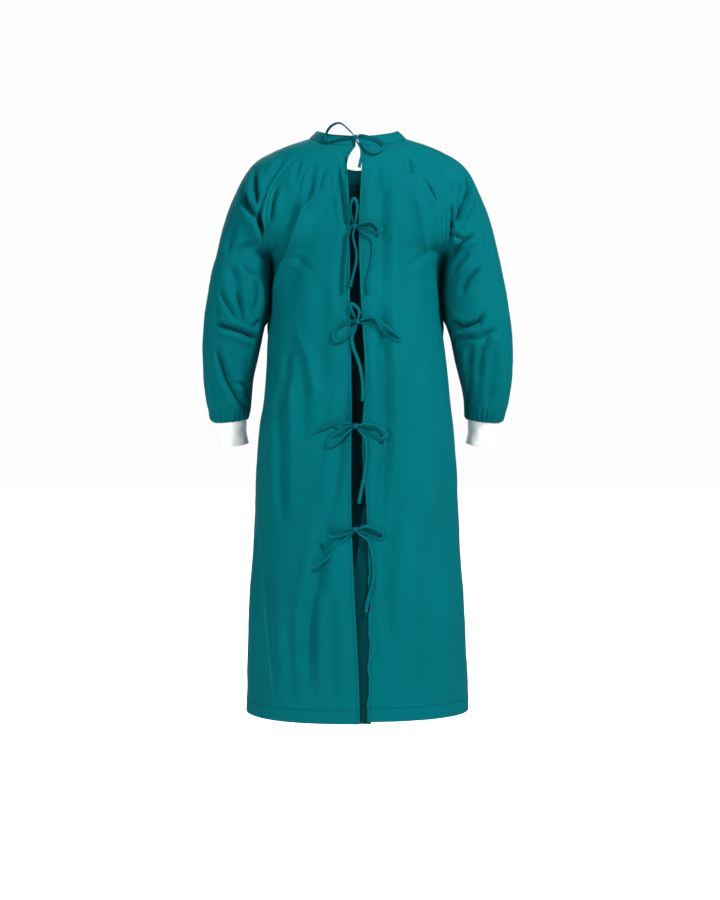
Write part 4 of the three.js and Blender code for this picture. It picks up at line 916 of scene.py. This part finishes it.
def frontRowPoints(row, shares):
    across = 2 * shares - 1
    half = 1 - np.abs(across)
    if row == 0:
        start = 180 - neckTurnForX(seamOf(0, "frontX"))
        turn = start + (180 - start) * half
        return neckPoint(neckSeam, np.where(across < 0, turn, -turn))
    if row <= seamRows:
        z = seamOf(row, "frontMidZ") + (seamOf(row, "frontZ") - seamOf(row, "frontMidZ")) * across ** 2
        rightEnd = leftEnd = 180 - turnForX(seamOf(row, "frontX"), seamOf(row, "frontZ"))
        if row == seamRows:
            rightEnd, leftEnd = valueAt(torso, "seamRight", z), valueAt(torso, "seamLeft", z)
    else:
        step = row - seamRows - 1
        ended = step >= len(skirtRows)
        z = np.full_like(shares, hemZ["front"] if ended else skirtRows[step])
        if ended:
            z = z + (np.where(across < 0, hemZ["right"], hemZ["left"]) - z) * across ** 2
        rightEnd, leftEnd = valueAt(torso, "seamRight", z), valueAt(torso, "seamLeft", z)
    end = np.where(across < 0, rightEnd, leftEnd)
    turn = end + (180 - end) * half
    return torsoPoint(z, np.where(across < 0, turn, -turn))


def finePanel(rowPoints, rowCount, splits, columns):
    shares = np.linspace(0, 1, columns + 1)
    coarse = np.array([rowPoints(row, shares) for row in range(rowCount)])
    return through(np.arange(rowCount), coarse, finePlaces(splits))


def fromEnd(lengths, axis):
    return np.take(lengths, [-1], axis=axis) - lengths


def pushIn(points, depth):
    return points - gridNormals(points) * depth[..., None]


hem = {"proud": 0.55, "pucker": 0.55, "wave": 7.5, "drift": 31, "reach": 9}


def hemRelief(hemDistance, along):
    # The turned hem stands a little proud and puckers at its stitches
    turned = smoothStep(cloth["hemDepth"] + 1, cloth["hemDepth"] - 1, hemDistance)
    near = np.exp(-((hemDistance - cloth["hemDepth"]) / hem["reach"]) ** 2)
    ripple = np.sin(along / hem["wave"] + 1.7 * np.sin(along / hem["drift"])) * near
    return hem["proud"] * turned + hem["pucker"] * ripple


bodyRows = seamRows + 1 + len(skirtRows) + 1
far = 1000.0  # no edge near


def ordered(side, shares):
    return shares if side > 0 else 1 - shares


def runsOf(points):
    return lengthsAlong(points, 1), lengthsAlong(points, 0)


def softDents(points, sideDistance, downRun):
    dents = unevenness(points, cloth["unevenness"])
    return dents * smoothStep(0, 6, sideDistance) * smoothStep(0, 6, downRun)


back = {
    "foldStrength": 1.45, "slitFold": 0.5, "flat": (0.27, 1.19), "area": 0.285,
    "waveHigh": -860, "waveLow": -920, "waveReach": 9,
}


def makeBack(side):
    points = finePanel(lambda row, shares: backRowPoints(side, row, ordered(side, shares)),
                       bodyRows, bodySplits, cloth["backColumns"])
    acrossRun, downRun = runsOf(points)
    slitDistance = acrossRun if side > 0 else fromEnd(acrossRun, 1)
    sideDistance = fromEnd(acrossRun, 1) if side > 0 else acrossRun
    hemDistance = fromEnd(downRun, 0)
    fade = smoothStep(0, 10, sideDistance) * smoothStep(0, 14, downRun)
    x, z = points[..., 0], points[..., 2]
    depth = crease(x, z, backCreases, back["foldStrength"]) * fade
    # Mask of the painted shade inside the narrow crisp creases
    paintedFoldShade = shadeOf(x, z, backCreases, back["foldStrength"]) * fade
    depth -= softDents(points, sideDistance, downRun)
    depth -= back["slitFold"] * smoothStep(7.5, 6, slitDistance) + hemRelief(hemDistance, acrossRun)
    points = pushIn(points, depth)
    if side > 0:
        # The right slit edge waves a little low down
        low = smoothStep(back["waveHigh"], back["waveLow"], points[..., 2])
        low *= np.exp(-slitDistance / back["waveReach"])
        points[..., 0] += low * (1.5 * np.sin(points[..., 2] / 13) + 0.8 * np.sin(points[..., 2] / 5.5 + 1))
    marks = {"slitDistance": slitDistance, "hemDistance": hemDistance, "paintedFoldShade": paintedFoldShade,
             "seamDistance": np.minimum(sideDistance, downRun)}
    name = sideName(side)
    uv = np.stack([slitDistance * side, -downRun], -1)
    piece = sheetPiece("cloth_back_" + name, "back_panel_" + name, points, marks, gownCloth, uv)


for side in (-1, 1):
    makeBack(side)


front = {"foldStrength": 1.3, "flat": (0.86, 1.2), "area": 0.78}

# Troughs where the front turns round to the sides, in depth and height
sideCreases = [
    ([(-10, -420), (-24, -640), (-46, -860)], 12, 3),
    ([(-60, -760), (-84, -980), (-96, -1180)], 14, 3.4),
    ([(-20, -880), (-34, -1040), (-40, -1180)], 13, 3),
    ([(18, -236), (20, -300), (22, -350), (26, -440)], 13, -11),
]


def makeFront():
    points = finePanel(frontRowPoints, bodyRows, bodySplits, cloth["frontColumns"])
    acrossRun, downRun = runsOf(points)
    sideDistance = np.minimum(acrossRun, fromEnd(acrossRun, 1))
    hemDistance = fromEnd(downRun, 0)
    ahead = smoothStep(-20, 20, points[..., 1])
    fade = smoothStep(0, 12, sideDistance) * smoothStep(0, 14, downRun) * ahead
    x, z = points[..., 0], points[..., 2]
    depth = crease(x, z, frontCreases, front["foldStrength"]) * fade
    beside = smoothStep(120, 150, np.abs(x)) * smoothStep(2, 14, sideDistance)
    depth += crease(points[..., 1], z, sideCreases) * beside
    # Mask of the painted shade inside the narrow crisp creases
    paintedFoldShade = shadeOf(x, z, frontCreases, front["foldStrength"]) * fade
    depth -= softDents(points, sideDistance, downRun)
    depth -= hemRelief(hemDistance, acrossRun)
    points = pushIn(points, depth)
    marks = {"slitDistance": np.full_like(downRun, far), "hemDistance": hemDistance, "paintedFoldShade": paintedFoldShade,
             "seamDistance": np.minimum(sideDistance, downRun)}
    piece = sheetPiece("cloth_front", "front_panel", points, marks, gownCloth)


makeFront()
print("body made")

sleeveRowCount = seamRows + 1 + len(sleeveSections) + 1
sleeveHeights = [-252] + [row[0] for row in sleeveSections] + [-590]
sleeveSplits = [cloth["seamSteps"]] * seamRows
sleeveSplits += [max(3, round((high - low) / cloth["sleeveCell"]))
                 for high, low in zip(sleeveHeights, sleeveHeights[1:])]

# Troughs of the backs of the sleeves as the back is seen, and of their fronts as the front is seen
sleeveCreases = {
    "left": [
        ([(-214, -62), (-210, -108), (-207, -143), (-201, -172), (-187, -214)], 7, 6.5, 0.85),
        ([(-240, -104), (-231, -143), (-211, -174), (-192, -204), (-183, -240)], 8, 7.5, 0.8),
        ([(-222, -120), (-206, -164), (-186, -206)], 7, -3, 0.8),
        ([(-182, -118), (-196, -160), (-200, -192), (-190, -236)], 5, 5.5, 0.85),
        ([(-146, -48), (-178, -102), (-204, -150)], 8, 3),
        ([(-262, -270), (-246, -326), (-231, -385)], 11, 4),
        ([(-300, -388), (-268, -402), (-238, -411), (-196, -430)], 7, 6, 0.75),
        ([(-250, -322), (-240, -360), (-230, -404)], 6, 4, 0.7),
        ([(-286, -318), (-268, -352), (-244, -392)], 6, 3.4, 0.7),
        ([(-218, -404), (-206, -392), (-190, -382)], 6, 4, 0.7),
        ([(-208, -300), (-204, -330), (-212, -372)], 6, 3.4, 0.7),
        ([(-236, -270), (-222, -290), (-200, -300)], 6, 2.8, 0.7),
        ([(-296, -430), (-272, -508), (-248, -552), (-214, -574)], 8, 5, 0.65),
        ([(-262, -512), (-230, -520), (-216, -556)], 6, 3.2, 0.7),
        ([(-306, -290), (-296, -345), (-284, -392)], 8, 3.6, 0.6),
        ([(-312, -440), (-306, -500), (-296, -560)], 8, 2.6),
        ([(-226, -450), (-232, -500), (-236, -560)], 8, 2.6),
        ([(-200, -225), (-232, -240), (-262, -262)], 8, 3.2),
        ([(-250, -180), (-262, -220), (-268, -262)], 9, 3),
    ],
    "right": [
        ([(231, -66), (228, -122), (217, -151), (203, -184), (181, -218)], 7, 6.5, 0.85),
        ([(242, -90), (240, -128), (228, -162), (206, -194)], 7, -3.4, 0.8),
        ([(214, -98), (207, -143), (201, -178)], 6, 4.4, 0.8),
        ([(191, -146), (191, -196), (186, -250)], 5, 5.5, 0.85),
        ([(178, -214), (200, -219), (222, -226)], 5, 4, 0.8),
        ([(244, -210), (218, -230), (188, -258)], 6, 5, 0.8),
        ([(232, -246), (210, -268), (190, -296)], 6, 3.6, 0.8),
        ([(254, -278), (226, -306), (208, -340)], 7, 4.6, 0.7),
        ([(176, -376), (217, -401), (249, -392), (266, -362)], 7, 6, 0.8),
        ([(186, -424), (218, -417), (252, -422)], 6, 4.4, 0.8),
        ([(244, -432), (264, -420), (288, -404)], 8, 3.6),
        ([(199, -438), (213, -497), (223, -549), (222, -582)], 8, 4.4, 0.65),
        ([(235, -428), (233, -508), (230, -570)], 7, 4, 0.65),
        ([(276, -404), (258, -450), (246, -520)], 8, 3.6, 0.6),
        ([(150, -52), (180, -100), (204, -150)], 8, 2.6),
        ([(262, -190), (270, -240), (276, -300)], 10, 3),
        ([(286, -440), (282, -500), (270, -566)], 9, 3.4),
        ([(304, -300), (302, -350), (296, -410)], 9, 2.6),
    ],
    "front": [
        ([(238, -110), (226, -170), (196, -226)], 10, 6),
        ([(214, -90), (206, -150), (190, -200)], 8, 4),
        ([(190, -240), (222, -252), (256, -246)], 8, 4.4),
        ([(196, -360), (228, -380), (262, -372)], 9, 6),
        ([(198, -402), (232, -414), (270, -402)], 8, 5),
        ([(210, -330), (236, -344), (268, -336)], 8, 3.6),
        ([(250, -430), (262, -500), (258, -566)], 9, 4),
        ([(222, -440), (236, -510), (240, -572)], 9, 3.4),
        ([(290, -420), (292, -490), (282, -560)], 9, 3),
        ([(270, -180), (278, -240), (284, -310)], 10, 3),
    ],
}
gathers = {"depth": 1.7, "count": 27, "wide": 17, "wideShare": 0.45, "lowest": -585, "high": -548}
sleeveLook = {"foldStrength": 1.6, "unevenness": 1.08, "dentSize": 52, "lowest": -590}
armpitBunch = {"at": 1.83, "reach": 0.09, "depth": 15, "top": (-250, -285), "bottom": (-405, -365)}


def bezier(corners, t):
    t = t[:, None]
    a, b, c, d = corners
    return a * (1 - t) ** 3 + 3 * b * t * (1 - t) ** 2 + 3 * c * t ** 2 * (1 - t) + d * t ** 3


def roundArm(curves, at):
    # The back curve runs up to 1 and the front one comes back from 2
    behind, ahead = bezier(curves[0], np.minimum(at, 1)), bezier(curves[1], 2 - np.maximum(at, 1))
    return np.where((at <= 1)[:, None], behind, ahead)


def tubeRing(side, ring, at):
    reach = 4 / 3
    curves = []
    for depth in (-ring["back"], ring["front"]):
        near, out = side * ring["inner"], side * ring["outer"]
        y = ring["middle"]
        corners = [np.array([near, y, ring["z"]]), np.array([near, y + depth * reach, ring["z"]]),
                   np.array([out, y + depth * reach, ring["z"]]), np.array([out, y, ring["z"]])]
        curves.append(corners)
    points = roundArm(curves, at)
    share = smoothStep(wristTilt["startZ"], wristTilt["fullZ"], ring["z"])
    middleX = (ring["inner"] + ring["outer"]) / 2
    forward = wristTilt["back"] * (points[:, 1] - ring["middle"])
    outward = wristTilt["side"] * (np.abs(points[:, 0]) - middleX)
    points[:, 2] += share * (forward + outward)
    return points


def cuffRing(side, down, offset=0.0):
    down = float(down)
    inner = through(cuffShape["down"], cuffShape["width"], down) - offset
    deep = through(cuffShape["down"], cuffShape["depth"], down) - offset
    middleX = cuffTop[sideName(side)] - down * cuffLean["inward"]
    return {"z": cuffTop["z"] - down, "inner": middleX - inner, "outer": middleX + inner,
            "middle": cuffTop["y"] + down * cuffLean["forward"], "back": deep, "front": deep}


def sleeveRowPoints(side, row, at):
    name = sideName(side)
    if row == 0:
        start = neckTurnForX(seamOf(0, name))
        finish = 180 - neckTurnForX(seamOf(0, "frontX"))
        turn = np.where(at <= 1, start + (90 - start) * at, 90 + (finish - 90) * (at - 1))
        return neckPoint(neckSeam, side * turn)
    if row <= seamRows:
        backZ, frontZ = seamOf(row, "backZ"), seamOf(row, "frontZ")
        start = torsoPoint(backZ, turnForX(side * seamOf(row, name), backZ))
        finish = torsoPoint(frontZ, side * (180 - turnForX(seamOf(row, "frontX"), frontZ)))
        if row == seamRows:
            start = finish = torsoPoint(backZ, side * valueAt(torso, "seam" + name.capitalize(), backZ))
        ridge = np.array([side * seamOf(row, "ridgeX"), -row, seamOf(row, "ridgeZ")])
        curves = []
        for point, toward in ((start, -1), (finish, 1)):
            leave = np.array([side * seamOf(row, "out"), toward * seamOf(row, "back"), seamOf(row, "up")])
            over = np.array([0, toward * seamOf(row, "over"), -seamOf(row, "drop")])
            curves.append([point, point + leave, ridge + over, ridge])
        return roundArm(curves, at)
    step = row - seamRows - 1
    if step >= len(sleeveSections):
        return tubeRing(side, cuffRing(side, 4.5, -0.3), at)
    part = {key: sleeveShape[key][step] for key in ("z", "middle", "back", "front")}
    part["inner"] = sleeveShape["inner" + name.capitalize()][step]
    part["outer"] = sleeveShape["outer" + name.capitalize()][step]
    return tubeRing(side, part, at)


def rowHeight(row):
    if row <= seamRows:
        return seamOf(row, "ridgeZ")
    step = row - seamRows - 1
    return sleeveShape["z"][step] if step < len(sleeveSections) else sleeveLook["lowest"]


def gatherDepth(at, z, side):
    # Small uneven pleats where the wide sleeve is sewn to its cuff
    turns = at / 2 + 0.012 * np.sin(at * 9 + side) + 0.006 * np.sin(at * 23)
    angle = turns * 2 * np.pi
    wave = np.sin(angle * gathers["count"]) + gathers["wideShare"] * np.sin(angle * gathers["wide"] + 1.3)
    reach = gathers["high"] - 12 * np.sin(angle * 7 + side) - 7 * np.sin(angle * 11)
    rise = np.clip((reach - z) / (reach - gathers["lowest"]), 0, 1)
    ended = smoothStep(-590.5, -586.5, z)
    return gathers["depth"] * wave * rise ** 1.4 * (0.35 + 0.65 * ended)


def makeSleevePart(side, ahead):
    name = sideName(side)

    def placesFor(row, shares):
        split = valueAt(overarm, "at", rowHeight(row))
        shares = ordered(side, shares)
        return split + (2 - split) * shares if ahead else split * shares

    points = finePanel(lambda row, shares: sleeveRowPoints(side, row, placesFor(row, shares)),
                       sleeveRowCount, sleeveSplits, cloth["sleeveColumns"])
    at = finePanel(placesFor, sleeveRowCount, sleeveSplits, cloth["sleeveColumns"])
    acrossRun, downRun = runsOf(points)
    sideDistance = np.minimum(acrossRun, fromEnd(acrossRun, 1))
    x = points[..., 0]
    z = points[..., 2]
    lines = sleeveCreases["front"] if ahead else sleeveCreases[name]
    place = np.abs(x) if ahead else x
    if ahead and side < 0:
        z = z - 12 * np.sin(z / 60)
    fade = smoothStep(0, 12, sideDistance) * smoothStep(0, 16, downRun)
    facing = smoothStep(0.2, 0.7, np.abs(gridNormals(points)[..., 1]))
    depth = crease(place, z, lines, sleeveLook["foldStrength"]) * fade * facing
    # Mask of the painted shade inside the narrow crisp creases
    paintedFoldShade = shadeOf(place, z, lines, sleeveLook["foldStrength"]) * fade * facing
    dents = unevenness(points, sleeveLook["unevenness"], sleeveLook["dentSize"])
    depth -= dents * smoothStep(0, 8, sideDistance)
    depth += gatherDepth(at, points[..., 2], side) * smoothStep(0, 5, sideDistance)
    if ahead:
        # Cloth bunches in front of the armpit, against the body
        height = points[..., 2]
        bunch = smoothStep(*armpitBunch["top"], height) * smoothStep(*armpitBunch["bottom"], height)
        bunch *= np.exp(-((at - armpitBunch["at"]) / armpitBunch["reach"]) ** 2)
        depth -= armpitBunch["depth"] * bunch
    points = pushIn(points, depth)
    marks = {"slitDistance": np.full_like(downRun, far), "hemDistance": np.full_like(downRun, far),
             "paintedFoldShade": paintedFoldShade, "seamDistance": np.minimum(sideDistance, downRun)}
    node = ("sleeve_front_" if ahead else "sleeve_back_") + name
    piece = sheetPiece("cloth_" + node, node, points, marks, gownCloth)


for side in (-1, 1):
    for ahead in (False, True):
        makeSleevePart(side, ahead)
print("sleeves made")


band = {"columns": 221, "rows": 15, "flat": (0.6, 0.023), "stitchIn": 2.2, "ripple": 0.3, "proud": 0.6}


def makeBand():
    start = neckTurnForX(bandEnd["right"])
    finish = 360 + neckTurnForX(bandEnd["left"])
    around = start + (finish - start) * np.linspace(0, 1, band["columns"])
    turn = np.where(around > 180, around - 360, around)
    top, bottom = neckPoint(neckTop, turn), neckPoint(neckSeam, turn)
    shares = np.linspace(0, 1, band["rows"])
    points = np.array([top + (bottom - top) * share for share in shares])
    acrossRun, downRun = runsOf(points)
    edge = np.minimum(downRun, fromEnd(downRun, 0))
    near = np.exp(-((edge - band["stitchIn"]) / 3) ** 2)
    ripple = band["ripple"] * np.sin(acrossRun / 6 + 2 * np.sin(acrossRun / 23)) * near
    depth = ripple - band["proud"] * np.sin(np.clip(edge / 9, 0, 1) * np.pi / 2) - unevenness(points, 0.5, 40)
    points = pushIn(points, depth)
    marks = {"bandEdge": edge, "seamDistance": fromEnd(downRun, 0)}
    piece = sheetPiece("cloth_neck_band", "neck_band", points, marks, bandCloth)


underlap = {
    "rows": 130, "columns": 25, "sewnInset": 2.4, "freeInset": 7.5, "flat": (0.05, 0.43), "area": 0.0175,
    "seamZ": -968, "ripple": 1.1, "looseness": 0.8,
}
underlapCreases = [
    ([(10, -1000), (12, -1090), (8, -1190)], 7, 2.6),
    ([(-6, -860), (0, -930), (2, -960)], 6, 2),
    ([(4, -985), (20, -1000)], 4, 1.2),
]


def makeUnderlap():
    rows = np.linspace(0, len(underlapRows) - 1, underlap["rows"])
    shares = np.linspace(0, 1, underlap["columns"])
    knots = np.arange(len(underlapRows))
    z = through(knots, underlapShape["z"], rows)[:, None] + 0 * shares
    left = through(knots, underlapShape["left"], rows)[:, None]
    right = through(knots, underlapShape["right"], rows)[:, None]
    x = left + (right - left) * shares
    points = torsoPoint(z, turnForX(x, z))
    free = np.minimum(1, 1.6 * (1 - shares))
    inset = underlap["sewnInset"] + (underlap["freeInset"] - underlap["sewnInset"]) * free
    ripples = underlap["ripple"] * np.sin(z / 9 + x / 14) * np.exp(-((z - underlap["seamZ"] + 16) / 34) ** 2)
    own = (ripples + crease(x, z, underlapCreases)) * free * underlap["looseness"]
    points[..., 1] += crease(x, z, backCreases, back["foldStrength"]) + inset + own
    marks = {"seamLine": np.abs(z - underlap["seamZ"])}
    piece = sheetPiece("cloth_underlap", "back_underlap", points, marks, shadedUnderlapCloth)


# The wall's outline as distances below the cuff's top and in from its outside
cuff = {"columns": 180, "straight": (1, 54.6), "outerRings": 26, "innerRings": 14, "flat": (0.215, 0.058)}
cuffEdges = {"top": [(0.6, 1.1), (0.2, 0.5)], "bottom": [(55.6, 0.4), (56.0, 1.1), (55.6, 1.8)],
             "last": [(0.2, 1.8)]}


def makeCuff(side):
    at = np.linspace(0, 2, cuff["columns"] + 1)[:-1]
    if side < 0:
        at = at[::-1]
    first, last = cuff["straight"]
    outside = [(down, 0.0) for down in np.linspace(first, last, cuff["outerRings"])]
    inside = [(down, cloth["knitThickness"]) for down in np.linspace(last, first, cuff["innerRings"])]
    profile = cuffEdges["top"] + outside + cuffEdges["bottom"] + inside + cuffEdges["last"]
    rings = []
    tops = []
    for down, within in profile:
        ring = tubeRing(side, cuffRing(side, down, within), at)
        centre = ring.mean(axis=0)
        wave = 0.5 * np.sin(at * 9 + down / 8) * math.sin(min(1, down / 50) * math.pi)
        wave += 0.28 * np.sin(at * 21 - down / 5)
        outward = (ring - centre) / np.linalg.norm(ring - centre, axis=1, keepdims=True)
        rings.append(ring + outward * wave[:, None])
        tops.append(np.full_like(at, down))
    name = sideName(side)
    piece = tubePiece("knit_cuff_" + name, "cuff_" + name, np.array(rings), {"cuffTop": np.array(tops)},
                      cuffKnit, joined=True)


makeBand()
makeUnderlap()
for side in (-1, 1):
    makeCuff(side)
print("band, cuffs and strip made")

studio = {
    "floorZ": -1.53, "floorSize": 30.0, "sky": 0.985, "fill": 0.33, "floorFill": 0.2, "aim": (0, 0, -0.6),
    "key": {"place": (2.0, -2.2, 1.95), "size": 0.5, "power": 196},
    "side": {"place": (-2.6, -3.2, 0.1), "size": 1.4, "power": 74},
    "back": {"place": (-1.2, 3.4, 1.6), "size": 1.8, "power": 132},
}


def addLight(name, setup):
    data = bpy.data.lights.new(name, "AREA")
    data.size = setup["size"]
    data.energy = setup["power"]
    light = addObject(name, data)
    light.location = setup["place"]
    aim = Vector(studio["aim"]) - Vector(setup["place"])
    light.rotation_euler = aim.to_track_quat("-Z", "Y").to_euler()


def addStudio():
    bm = bmesh.new()
    bmesh.ops.create_grid(bm, x_segments=8, y_segments=8, size=studio["floorSize"])
    bmesh.ops.translate(bm, verts=bm.verts, vec=(0, 0, studio["floorZ"]))
    mesh = bpy.data.meshes.new("floor")
    bm.to_mesh(mesh)
    bm.free()
    floor = addObject("floor", mesh)
    material, tree = newMaterial("paleFloor")
    place = tree.nodes.new("ShaderNodeTexCoord").outputs["Object"]
    reach = addNode(tree, "ShaderNodeVectorMath", {0: place, 1: (0, 0, -studio["floorZ"])}, operation="ADD")
    away = addNode(tree, "ShaderNodeVectorMath", {0: reach.outputs[0]}, operation="LENGTH").outputs["Value"]
    seen = tree.nodes.new("ShaderNodeLightPath").outputs["Is Camera Ray"]
    glow = times(tree, stepNode(tree, away, 0.5, 2.2, 0.55, 1.0),
                stepNode(tree, seen, 0.0, 1.0, studio["floorFill"], 1.0))
    shader = addNode(tree, "ShaderNodeBsdfPrincipled", {
        "Base Color": (0.85, 0.85, 0.85, 1), "Roughness": 0.9, "Emission Color": (1, 1, 1, 1),
        "Emission Strength": glow})
    out = tree.nodes.new("ShaderNodeOutputMaterial")
    tree.links.new(shader.outputs[0], out.inputs[0])
    mesh.materials.append(material)
    world = bpy.data.worlds.new("studio")
    world.use_nodes = True
    tree = world.node_tree
    tree.nodes.clear()
    seen = tree.nodes.new("ShaderNodeLightPath").outputs["Is Camera Ray"]
    bright = stepNode(tree, seen, 0.0, 1.0, studio["fill"], studio["sky"])
    sky = addNode(tree, "ShaderNodeBackground", {"Color": (1, 1, 1, 1), "Strength": bright})
    out = tree.nodes.new("ShaderNodeOutputWorld")
    tree.links.new(sky.outputs[0], out.inputs[0])
    bpy.context.scene.world = world
    bpy.context.scene.view_settings.view_transform = "Standard"
    for name in ("key", "side", "back"):
        addLight(name, studio[name])


addStudio()
print("studio made")
